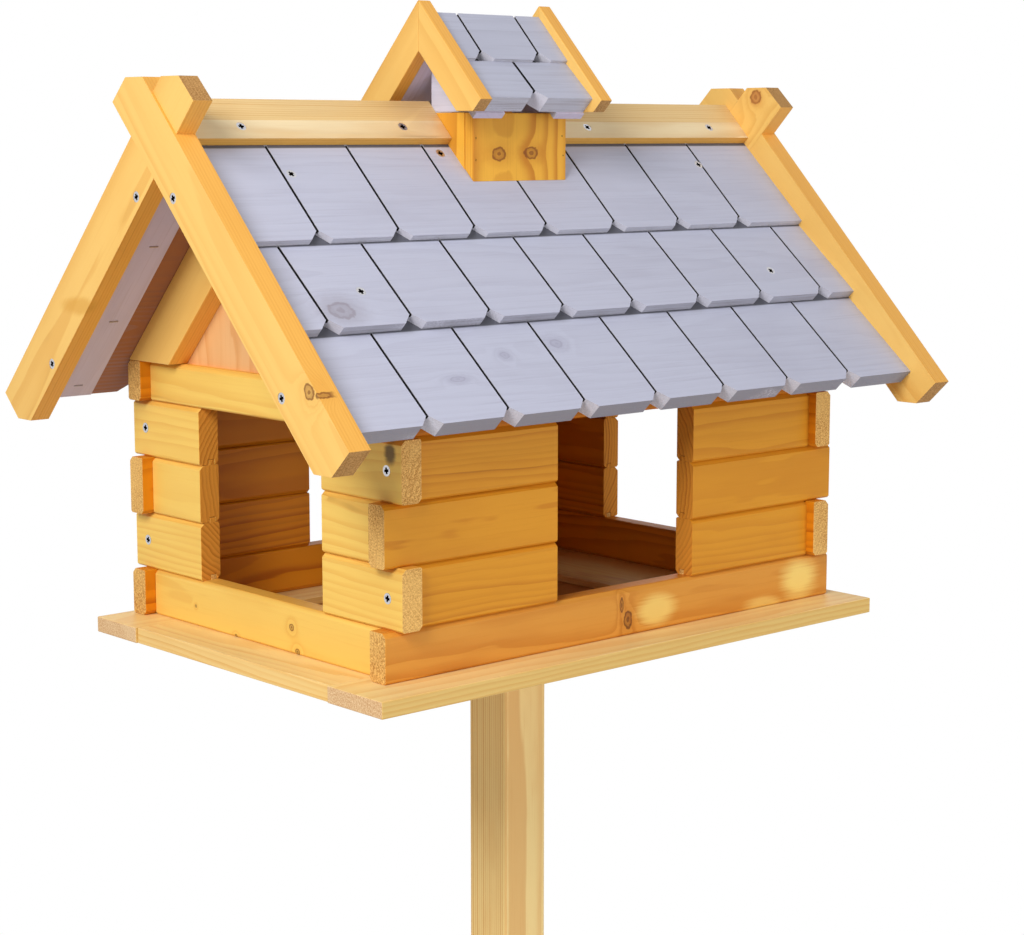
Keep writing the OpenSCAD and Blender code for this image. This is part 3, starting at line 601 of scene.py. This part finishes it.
# Ends closer to the middle of the house than this are jambs of an opening
REACH_X, REACH_Y = HALF_LEN * MM - 0.02, HALF_DEPTH * MM - 0.02
stain = [((LEFT_FACE, -158.5, 864), (20, 7.5, 9), rgb(60, 40, 20), 0.85)]
for side, (along, face) in SIDES.items():
    for end in ("front", "back") if along is Y else ("left", "right"):
        name = f"wall_{side}_{end}"
        dress(name, wood, along, face, LIT_HONEY if side == "left" else SHADED_HONEY, rows=True, depth=0.08,
              drift=0.6, inner=True, inner_end=REACH_Y if along is Y else REACH_X,
              spots=stain if name == "wall_left_front" else ())
for name, side, palette in (("top_log_front", "front", SHADED_BEAM), ("top_log_back", "back", SHADED_BEAM),
                            ("gable_beam_left", "left", LIT_HONEY), ("gable_beam_right", "right", SHADED_HONEY)):
    dress(name, wood, *SIDES[side], palette, depth=0.08, drift=0.5, inner=True)
print("base and walls dressed")

# %% [markdown]
# ## Rafters and barge boards
# These run down the slope, so their grain does too. The back boards take the mirrored direction.

# %% Sloping boards
BARGE = dict(HONEY, early=rgb(251, 202, 112), late=rgb(240, 184, 94), knot=rgb(120, 66, 22),
             end_light=rgb(206, 158, 98), end_dark=rgb(150, 104, 52), side=(0.95, 0.8, 0.56))
crossing = (298.0, -21.0, 1114.9)
barge_knots = {"barge_left_front": [((BARGE_FACE, -182.4, 915.1), 4.6, 1.15),
                                    ((BARGE_FACE, -197.0, 918.0), 8.5, 0.36)],
               "barge_right_back": [(crossing, 5.6, 1.0)]}
barge_spots = {"barge_left_back": [((BARGE_FACE, 108.0, 955.0), (14, 38, 9), rgb(226, 166, 68), 0.7),
                                   ((BARGE_FACE, 90.0, 951.0), (14, 9, 6), rgb(196, 130, 44), 0.7)],
               "barge_right_back": [(crossing, (14, 9, 9), rgb(206, 126, 66), 0.5)]}
for side, sign in HANDS:
    for end, back in ENDS:
        for part in ("rafter", "barge"):
            name = f"{part}_{side}_{end}"
            dress(name, wood, DOWN[back], X * sign, BARGE, knots=barge_knots.get(name, ()), ring=0.0026,
                  wander=0.35, depth=0.14, drift=0.25, spots=barge_spots.get(name, ()))
print("rafters and barge boards dressed")

# %% [markdown]
# ## Grey glaze
# The roof boards, their battens and the cap are dipped in a lavender grey. Streaks of the wood's
# grain show through along the ridge direction, sawn edges are rough, the lower edges of the roof
# courses get painted shade that deepens towards the eaves, and the walls of the saw cuts are raw.

# %% The grey glaze group
def build_grey():
    masks = dict.fromkeys(("Late", "Heart", "Halo", "Sawn", "Raw", "Dark", "Bare"), 0.0)
    colours = dict.fromkeys(("Paint", "Thin paint", "Knot wood", "Sawn paint", "Raw wood", "Bare wood"),
                            "Color")
    tree, given, made = new_group("grey_glaze", {**masks, **CLOUDS, **colours}, COATING)
    late, fibre, mottle, speckle = (given[title] for title in GRAIN)
    face = blend(tree, times(tree, late, 0.3), given["Paint"], given["Thin paint"])
    streak = times(tree, smooth(tree, fibre, 0.5, 0.78), 0.5)
    face = blend(tree, streak, face, given["Thin paint"])
    patch = times(tree, smooth(tree, mottle, 0.5, 0.75), 0.35)
    face = blend(tree, patch, face, given["Thin paint"])
    face = blend(tree, times(tree, given["Halo"], 0.25), face, given["Knot wood"])
    face = blend(tree, times(tree, given["Heart"], 0.45), face, given["Knot wood"])
    grains = smooth(tree, speckle, 0.34, 0.66)
    saw_marks = times(tree, smooth(tree, fibre, 0.42, 0.7), 0.3)
    sawn = blend(tree, saw_marks, given["Sawn paint"], given["Knot wood"])
    chips = smooth(tree, speckle, 0.4, 0.6)
    chipped = times(tree, smooth(tree, mottle, 0.56, 0.66), chips)
    sawn = blend(tree, chipped, sawn, given["Raw wood"])
    raw = blend(tree, times(tree, grains, 0.3), given["Raw wood"], given["Sawn paint"])
    colour = blend(tree, given["Sawn"], face, sawn)
    colour = blend(tree, given["Raw"], colour, raw)
    bare = blend(tree, times(tree, late, 0.3), given["Bare wood"], given["Knot wood"])
    colour = blend(tree, given["Bare"], colour, bare)
    # Where this mask is 1 the colour goes nearly black, as painted shade
    fill(tree, made["Color"], blend(tree, given["Dark"], colour, (0.008, 0.007, 0.008, 1)))
    fill(tree, made["Roughness"], scaled(tree, given["Sawn"], 0.2, scaled(tree, fibre, 0.15, 0.5)))
    relief = scaled(tree, late, 0.3, times(tree, fibre, 0.6))
    torn = times(tree, sums(tree, "MAXIMUM", given["Sawn"], given["Raw"]), 2.2)
    torn = times(tree, speckle, torn)
    fill(tree, made["Height"], sums(tree, "ADD", relief, torn))
    return tree


GREY = build_grey()
print("group", GREY.name)

# %% [markdown]
# ## Saw cuts
# A saw cut is a few millimetres wide and reads as a black line, which is painted shade. Its walls and
# floor are told apart by their normals and by how far they lie over the floor of the cut, so the
# painted shade stays inside it. The gap under the foot of the next course gets painted shade too.

# %% Grey wood with its saw cuts
GREY_PAINT = dict(paint=rgb(195, 197, 216), thin=rgb(177, 177, 196), knot=rgb(112, 92, 96),
                  sawn=rgb(196, 196, 207), raw=rgb(214, 212, 224), bare=rgb(166, 108, 72))


def painted_shade_in_cuts(tree, place, normal, along, out, cuts):
    """Painted shade: 1 on the walls and floor of the saw cuts, and in the gap under the foot of the course
    above.
    """
    from_peak = vector_sums(tree, "SUBTRACT", place, (0, cuts["middle"] * MM, cuts["peak"] * MM))
    k, s = dot(tree, from_peak, out), dot(tree, from_peak, cuts["down"])
    floor, fall = cuts["floor"]
    over = sums(tree, "SUBTRACT", k, scaled(tree, s, fall, floor * MM))
    upward = facing_share(tree, normal, out, 0.6, 0.8)
    walls = times(tree, smooth(tree, over, 3.15 * MM, 2.7 * MM),
                  facing_share(tree, normal, along, 0.8, 0.95, both=True))
    floors = times(tree, smooth(tree, over, 0.45 * MM, 0.2 * MM), upward)
    dark = sums(tree, "MAXIMUM", walls, floors)
    if cuts["start"] is None:
        return dark
    gap = smooth(tree, s, (cuts["start"] + 2.4) * MM, (cuts["start"] + 0.8) * MM)
    return sums(tree, "MAXIMUM", dark, times(tree, gap, times(tree, upward, 0.8)))


def grey_wood(name, along, face, centre, palette=GREY_PAINT, knots=(), fold=None, cuts=None, bare=False):
    material, tree, shader, place, normal = start_material(name)
    seed = float(next(SEEDS))
    if fold is not None:
        place, normal, seed = fold_over(tree, place, normal, fold, seed)
    board, heart, halo, bend = lay_board(tree, place, board_matrix(along, face, centre), knots)
    rings = add_group(tree, RINGS, Vector=board, Seed=seed, Ring=0.0042, Bend=bend, Wander=0.7)
    # The lower edge faces down the slope, and the notches face halfway between it and the ridge
    width = Vector(face).normalized().cross(Vector(along).normalized())
    edge = facing_share(tree, normal, width, 0.75, 0.95, both=True)
    pale, dark = 0.0, 0.0
    if cuts is not None:
        # The side of a notch towards the light is torn and pale; the other side gets painted shade
        pale = facing_share(tree, normal, -Vector(along), 0.4, 0.6)
        across = sums(tree, "ABSOLUTE", dot(tree, normal, along))
        slanted = times(tree, smooth(tree, across, 0.4, 0.6), smooth(tree, across, 0.9, 0.8))
        shade = times(tree, slanted, facing_share(tree, normal, along, 0.4, 0.6))
        dark = sums(tree, "MAXIMUM", painted_shade_in_cuts(tree, place, normal, along, face, cuts),
                    times(tree, shade, 0.85))
    under = facing_share(tree, normal, -Vector(face)) if bare else 0.0
    coat = add_group(tree, GREY, **grain_of(rings), Heart=heart, Halo=halo, Sawn=edge, Raw=pale, Dark=dark,
                     Bare=under, Paint=palette["paint"], Thin_paint=palette["thin"],
                     Knot_wood=palette["knot"], Sawn_paint=palette["sawn"], Raw_wood=palette["raw"],
                     Bare_wood=palette["bare"])
    finish_coat(tree, shader, coat["Color"], coat, shine=0.35, relief=0.4)
    return material


def course_tops(back):
    """The tops of a slope's three courses, each from its upper end (s, k) to its lower end (s, k)."""
    ends = (SEAT_END[back],) + COURSE_END
    return [(ends[i], LAP_K if i else SEAT_K, ends[i + 1], COURSE_THICK[i] - UNDER) for i in range(3)]


def kerf_floor(s0, k0, s1, k1):
    """The floor of a saw cut under the board's top: its k where s is 0, and how k changes with s."""
    fall = (k1 - k0) / (s1 - s0)
    return (k0 - fall * s0 - KERF_DEPTH, fall)


print("grey wood ready")

# %% [markdown]
# The three courses differ in the colour of their lower edges, which get painted shade that deepens
# towards the eaves, and in how strongly their knots show through the glaze.

# %% Dress the roof and the cap
BATTEN_GREY = dict(GREY_PAINT, paint=rgb(206, 196, 216), thin=rgb(188, 174, 190))
CAP_GREY = dict(GREY_PAINT, paint=rgb(188, 190, 208), thin=rgb(162, 162, 178))
course_edges = {"upper": rgb(200, 200, 211), "middle": rgb(182, 182, 194), "lower": rgb(152, 152, 164)}
roof_knots = {"shingles_front_middle": [((-241.8, -122.9, 960.7), 7.5, 1.3)],
              "shingles_front_lower": [((-117.9, -156.6, 925.8), 3.0, 1.2),
                                       ((-61.8, -151.5, 931.1), 4.0, 1.3),
                                       ((-174.6, -169.5, 912.5), 2.4, 2.6)]}
for end, back in ENDS:
    out, down = OUT[back], DOWN[back]
    for top, (course, edge) in zip(course_tops(back), course_edges.items()):
        name = f"shingles_{end}_{course}"
        cuts = dict(peak=PEAK_Z, middle=0.0, floor=kerf_floor(*top), start=top[0], down=down)
        knot = GREY_PAINT["knot"] if course == "middle" else rgb(146, 142, 164)
        dress(name, grey_wood, X, out, dict(GREY_PAINT, sawn=edge, knot=knot), 0,
              knots=roof_knots.get(name, ()), cuts=cuts, bare=True)
    cuts = dict(peak=CAP_PEAK, middle=CAP_Y, floor=(CAP_KERF_K, 0.0), start=None, down=down)
    dress(f"cap_shingles_{end}", grey_wood, X, out, CAP_GREY, 0, on_cap(0, 50, -9, back), cuts=cuts)
    for side in ("left", "right"):
        dress(f"batten_{side}_{end}", grey_wood, down, -out, BATTEN_GREY)
dress("cap_battens", grey_wood, DOWN_FRONT, -OUT_FRONT, BATTEN_GREY, 0.0005, on_cap(0, 50, -24),
      fold=CAP_Y * MM)
dress("cap_blocks", grey_wood, Y, X, dict(GREY_PAINT, paint=rgb(214, 214, 232), thin=rgb(190, 190, 208)))
print("roof dressed")

# %% [markdown]
# ## Ridge boards, chimney, cap, gables and stand
# The ridge boards are honey wood laid flat on the grey. The chimney is cut from a board with two
# knots side by side and stands with its grain upright. The gable panels are salmon plywood. The
# stand is plain pale spruce.

# %% The rest of the wood
RIDGE = dict(HONEY, early=rgb(247, 224, 180), late=rgb(233, 198, 144), side=(0.93, 0.82, 0.62))
for side, x in (("left", -173), ("right", 174)):
    dress(f"ridge_boards_{side}", wood, X, OUT_FRONT, RIDGE, centre=on_slope(x, 12, -14), fold=0.0,
          ring=0.0022, depth=0.1, drift=0.2, lip=(DOWN_FRONT, (0.98, 0.76, 0.36)))

chimney_knots = [((-19.7, -37.8, 1067.5), 6.4, 0.75), ((14.2, -37.8, 1068.1), 6.8, 0.66)]
CHIMNEY = dict(HONEY, early=rgb(246, 182, 64), late=rgb(208, 132, 38), knot=rgb(128, 62, 20))
upright = dict(ring=0.0028, depth=0.3, drift=0.1, wander=0.12)
dress("chimney_front", wood, Z, -Y, CHIMNEY, knots=chimney_knots, tinted_sides=False, push=0.55, **upright)
dress("chimney_back", wood, Z, Y, CHIMNEY, tinted_sides=False, **upright)
for side, sign in HANDS:
    dress(f"chimney_{side}", wood, Z, X * sign, CHIMNEY, **upright)
for side, sign in HANDS:
    dress(f"cap_barge_{side}", wood, DOWN_FRONT, X * sign, BARGE, 0.0006, on_cap(sign * 63, 53, -13),
          fold=CAP_Y * MM, ring=0.003, wander=0.3, depth=0.14, drift=0.2)

SALMON = dict(HONEY, early=rgb(243, 190, 130), late=rgb(234, 172, 108), knot=rgb(150, 90, 60))
for side, sign in HANDS:
    dress(f"gable_panel_{side}", wood, Z, X * sign, SALMON, 0, ring=0.009, wander=1.0)
# The floor panel gets a darker, browner copy of the salmon plywood, as painted shade inside the house
FLOOR = dict(SALMON, early=rgb(190, 118, 52), late=rgb(166, 94, 34))
dress("floor_panel", wood, X, Z, FLOOR, 0, ring=0.009, wander=1.0)

STAND = dict(HONEY, early=rgb(255, 224, 154), late=rgb(230, 172, 98), side=(1.0, 0.97, 0.9))
dress("post", wood, Z, -Y, STAND, 0, ring=0.0026, wander=0.18, depth=0.12, drift=0.03)
dress("foot_beam_x", wood, X, -Y, STAND, 0.0015)
dress("foot_beam_y", wood, Y, -X, STAND, 0.0015)
dress("foot_braces", wood, X - Z, Y, STAND, 0.0012, Vector((70, 0, 110)), ring=0.0026, depth=0.1, drift=0.2,
      star=(POST_X * MM, POST_Y * MM, 0))
dress("post_bearers", wood, X, -Z, STAND)
print("all wood dressed")

# %% [markdown]
# ## Cross-head screws
# A zinc plated countersunk screw is a cone on a shank with a cross cut into it. It starts as a
# filled circle; extruding and shrinking the circle makes the head and the shank, and a boolean with
# two tapered blades cuts the recess. One screw of each length is made and copied.

# %% Make one screw
def clear_selection():
    for each in bpy.context.selected_objects:
        each.select_set(False)


def work_on(piece):
    clear_selection()
    piece.select_set(True)
    bpy.context.view_layer.objects.active = piece


HEAD_R, HEAD_H, SHANK_R = 4.0 * MM, 2.4 * MM, 1.75 * MM
RIM, TIP, RECESS_R, RECESS_DEEP = 0.3 * MM, 3 * MM, 3.0 * MM, 2.0 * MM
BLADE, TAPER = (5.9 * MM, 2.4 * MM, 2.8 * MM), 0.45


def turned_down(radius, vertices, steps):
    """A filled circle, extruded down and shrunk step by step, as on a lathe."""
    clear_selection()
    bpy.ops.mesh.primitive_circle_add(vertices=vertices, radius=radius, fill_type="NGON")
    bpy.ops.object.mode_set(mode="EDIT")
    bpy.ops.mesh.select_all(action="SELECT")
    for drop, shrink in steps:
        bpy.ops.mesh.extrude_region_move(TRANSFORM_OT_translate={"value": (0, 0, -drop)})
        bpy.ops.transform.resize(value=(shrink, shrink, 1), center_override=(0, 0, 0))
    bpy.ops.mesh.select_all(action="SELECT")
    bpy.ops.mesh.normals_make_consistent(inside=False)
    bpy.ops.object.mode_set(mode="OBJECT")
    return bpy.context.object


def make_screw(length):
    screw = turned_down(HEAD_R, 32, ((RIM, 1.0), (HEAD_H - RIM, SHANK_R / HEAD_R),
                                     (length - HEAD_H - TIP, 1.0), (TIP, 0.12)))
    for turn in (0, 90):
        clear_selection()
        bpy.ops.mesh.primitive_cube_add(size=1, location=(0, 0, -0.4 * MM))
        blade = bpy.context.object
        blade.scale, blade.rotation_euler = BLADE, (0, 0, math.radians(turn))
        bpy.ops.object.transform_apply(location=True, rotation=True, scale=True)
        for corner in blade.data.vertices:
            if corner.co.z < 0:
                corner.co.x *= TAPER
                corner.co.y *= TAPER
        cut = screw.modifiers.new("recess", "BOOLEAN")
        cut.object, cut.operation, cut.solver = blade, "DIFFERENCE", "EXACT"
        work_on(screw)
        bpy.ops.object.modifier_apply(modifier=cut.name)
        bpy.data.objects.remove(blade, do_unlink=True)
    for face in screw.data.polygons:
        # The walls of the recess and the rim of the head get a near-black material, as painted shade
        out, deep = face.center.xy.length, -face.center.z
        if (out < RECESS_R and 0.02 * MM < deep < RECESS_DEEP) or out > HEAD_R * 0.9:
            face.material_index = 1
    print("screw", round(length / MM, 1), "mm:", len(screw.data.polygons), "faces")
    return screw


# %% [markdown]
# The screws stand in rows that the source of the part fixes: two in each long end of the side
# walls, two through each barge board into its batten, and others through the ridge boards and the
# roof boards. Each copy is turned by its own angle, because nobody lines the crosses up.

# %% Place the screws
def zinc(name, base, rough):
    material, tree, shader, place, _ = start_material(name)
    cloud = noise(tree, place, 900.0, 3.0)
    dull = tuple(v * 0.72 for v in base[:3]) + (1,)
    fill(tree, shader.inputs["Base Color"], blend(tree, cloud, base, dull))
    fill(tree, shader.inputs["Roughness"], scaled(tree, cloud, 0.25, rough))
    shader.inputs["Metallic"].default_value = 1.0
    return material


ZINC = zinc("zinc_plate", rgb(218, 218, 222), 0.3)
# Near-black painted shade for the recess and the rim of a screw head
RECESS_SHADE = zinc("painted_shade_in_the_recess", rgb(14, 12, 12), 0.5)


def copies_at(model, places, name, materials, turns):
    """Joins copies of a small model that stand at each (point, outward direction).

    The model gets its materials first, because a join merges slots that are still empty."""
    for material in materials:
        model.data.materials.append(material)
    made = []
    for (point, out), turn in zip(places, turns):
        copy = model.copy()
        copy.data = model.data.copy()
        scene.collection.objects.link(copy)
        stand = out.to_track_quat("Z", "Y").to_matrix().to_4x4()
        copy.data.transform(Matrix.Translation(point * MM) @ stand @ Matrix.Rotation(turn, 4, "Z"))
        made.append(copy)
    clear_selection()
    for copy in made:
        copy.select_set(True)
    bpy.context.view_layer.objects.active = made[0]
    bpy.ops.object.join()
    bpy.data.objects.remove(model, do_unlink=True)
    piece = bpy.context.object
    piece.name = piece.data.name = name
    return piece


SUNK, RIDGE_SCREW_UP, BACK_BARGE_IN = 0.25, 14, 2
long_places, short_places = [], []
for sx in (-1, 1):
    for sy in (-1, 1):
        for row in (0, 2):
            z = BASE_TOP + RAIL_H + (row + 0.5) * LOG_H
            long_places.append((Vector((sx * HALF_LEN, sy * (HALF_DEPTH - LOG_T / 2), z)), X * sx))
for s in (71, 252):
    for back in (False, True):
        face = ROOF_HALF + BARGE_T - (BACK_BARGE_IN if back else 0) - SUNK
        for sign in (-1, 1):
            long_places.append((on_slope(sign * face, s, -UNDER - BATTEN_T / 2, back), X * sign))
for back in (False, True):
    for x in (-240, -89, 108, 255):
        s = SEAT_END[back] - RIDGE_SCREW_UP
        short_places.append((on_slope(x, s, SEAT_K + RIDGE_T - SUNK, back), OUT[back]))
    lower = SEAT_END[True] - SEAT_END[False] if back else 0
    for course, x, s in ((0, -214, 62 + lower), (0, -60, 42 + lower), (0, 219, 58 + lower),
                         (1, -214, 177), (1, 216, 181)):
        s0, k0, s1, k1 = course_tops(back)[course]
        k = k0 + (s - s0) * ((k1 - k0) / (s1 - s0)) - SUNK
        short_places.append((on_slope(x, s, k, back), OUT[back]))

luck = random.Random(11)
for places, length, name in ((long_places, 28, "wall_and_barge_screws"),
                             (short_places, 13.5, "roof_screws")):
    turns = [luck.uniform(0, math.pi) for _ in places]
    piece = copies_at(make_screw(length * MM), places, name, (ZINC, RECESS_SHADE), turns)
    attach(piece, "house")
    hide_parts("house_screws")
print("screws:", len(long_places), "long and", len(short_places), "short")

# %% [markdown]
# ## Pins and staples
# Brad pins hold the chimney, the ridge boards and the cap's boards. Only their dark, punched-in
# heads show. Staples hold the battens under the verges. A pin head is a filled circle that is
# extruded and beveled; a staple is a bar whose ends are extruded down into legs.

# %% Pins and staples
def make_pin():
    pin = turned_down(0.85 * MM, 12, ((6 * MM, 0.7),))
    soft = pin.modifiers.new("soft_rim", "BEVEL")
    soft.width, soft.segments = 0.2 * MM, 2
    work_on(pin)
    bpy.ops.object.modifier_apply(modifier=soft.name)
    return pin


def make_staple():
    clear_selection()
    bpy.ops.mesh.primitive_cube_add(size=1, location=(0, 0, 0))
    staple = bpy.context.object
    staple.scale = (7.6 * MM, 1.0 * MM, 0.8 * MM)
    bpy.ops.object.transform_apply(location=True, rotation=True, scale=True)
    bpy.ops.object.mode_set(mode="EDIT")
    bpy.ops.mesh.subdivide(number_cuts=8)
    bpy.ops.object.mode_set(mode="OBJECT")
    for face in staple.data.polygons:
        face.select = face.normal.z < -0.9 and abs(face.center.x) > 3.0 * MM
    bpy.ops.object.mode_set(mode="EDIT")
    bpy.ops.mesh.select_mode(type="FACE")
    bpy.ops.mesh.extrude_region_move(TRANSFORM_OT_translate={"value": (0, 0, -4 * MM)})
    bpy.ops.object.mode_set(mode="OBJECT")
    return staple


house_pins = [(Vector((x, -37.8, z)), -Y) for x, z in (
    (-43.4, 1079.9), (-43.5, 1063.0), (47.7, 1081.4), (49.0, 1066.0))]
house_pins += [(on_slope(x, s, SEAT_K + RIDGE_T, back), OUT[back]) for x, s, back in (
    (-158, -2, False), (-91, -2.6, False), (150, -2, False), (228, -2.4, False),
    (-170, 40, True), (160, 42, True))]
cap_pins = [(on_cap(x, s, -6.2, back), OUT[back]) for x, s, back in (
    (-6.2, 29.5, False), (-1.8, 35.9, False), (-8.5, 41.7, False), (-2.0, 41.5, False),
    (15.6, 31.8, False), (9.8, 41.0, False), (-45.1, 10.3, False), (46.7, 14.8, False),
    (17.3, 27.5, False), (-42, 9, True), (44, 10, True), (-40, 40, True), (41, 42, True))]
staple_k = -UNDER - BATTEN_T - 0.15
staples = [(on_slope(x, s, staple_k, back), -OUT[back]) for x, s, back in (
    (-280, 118, True), (-283, 274, True), (-281, 200, True), (-280, 120, False), (-282, 268, False),
    (280, 118, True), (282, 270, True), (281, 122, False), (280, 266, False))]

PIN_STEEL = zinc("pin_heads", rgb(54, 40, 30), 0.5)
STAPLE_WIRE = zinc("staple_wire", rgb(176, 170, 178), 0.3)
for places, make, name, body, material in (
        (house_pins, make_pin, "house_pins", "house", PIN_STEEL),
        (cap_pins, make_pin, "cap_pins", "cap", PIN_STEEL),
        (staples, make_staple, "batten_staples", "house", STAPLE_WIRE)):
    piece = copies_at(make(), places, name, (material,), [0.0] * len(places))
    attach(piece, body)
    print(name, len(places))

# %% [markdown]
# ## Studio
# A pale floor carries the object's shadow near the stand and turns into plain white further out,
# which only the camera sees. The world gives soft light from all round, a large lamp on the left
# lights the gable side, and a weaker one fills the front.

# %% Floor, world and lamps
def backdrop_rays(tree):
    """1 for the rays that should see the white background: the camera's, mirrored and clear ones."""
    rays = add_node(tree, "LightPath").outputs
    through = sums(tree, "MAXIMUM", rays["Is Glossy Ray"], rays["Is Transmission Ray"])
    return sums(tree, "MAXIMUM", rays["Is Camera Ray"], through)


def make_floor():
    clear_selection()
    bpy.ops.mesh.primitive_circle_add(vertices=96, radius=60, fill_type="NGON", location=(0, 0, -0.0006))
    floor = bpy.context.object
    floor.name = "studio_floor"
    material, tree, shader, place, _ = start_material("studio_floor")
    shader.inputs["Base Color"].default_value = (0.86, 0.86, 0.86, 1)
    shader.inputs["Roughness"].default_value = 0.9
    shader.inputs["Specular IOR Level"].default_value = 0.0
    far = smooth(tree, vector_sums(tree, "LENGTH", place), 0.55, 1.0)
    white = add_node(tree, "Emission", (1, 1, 1, 1), 1.0).outputs[0]
    # Near the foot a little over half of the real floor is left, so that its shadow shows
    share = scaled(tree, far, 0.55, 0.45)
    share = times(tree, share, backdrop_rays(tree))
    mixed = add_node(tree, "MixShader", share, shader.outputs[0], white)
    fill(tree, tree.nodes["Material Output"].inputs["Surface"], mixed.outputs[0])
    floor.data.materials.append(material)


def make_world(strength):
    world = bpy.data.worlds.new("studio")
    world.use_nodes = True
    tree = world.node_tree
    tree.nodes.clear()
    soft = add_node(tree, "Background", (1.0, 1.0, 1.0, 1), strength).outputs[0]
    white = add_node(tree, "Background", (1, 1, 1, 1), 1.0).outputs[0]
    mixed = add_node(tree, "MixShader", backdrop_rays(tree), soft, white)
    out = tree.nodes.new("ShaderNodeOutputWorld")
    fill(tree, out.inputs["Surface"], mixed.outputs[0])
    scene.world = world


def make_lamp(name, at, aim, size, power):
    data = bpy.data.lights.new(name, "AREA")
    data.shape, data.size, data.energy = "DISK", size, power
    lamp = bpy.data.objects.new(name, data)
    lamp.location = at
    lamp.rotation_euler = (Vector(aim) - Vector(at)).to_track_quat("-Z", "Y").to_euler()
    scene.collection.objects.link(lamp)


make_floor()
make_world(0.36)
make_lamp("key", (-1.68, -0.75, 1.96), (-0.1, 0, 1.0), 0.9, 30)
make_lamp("fill", (0.8, -3.0, 0.92), (0, 0, 0.85), 1.4, 22)
print("studio ready")
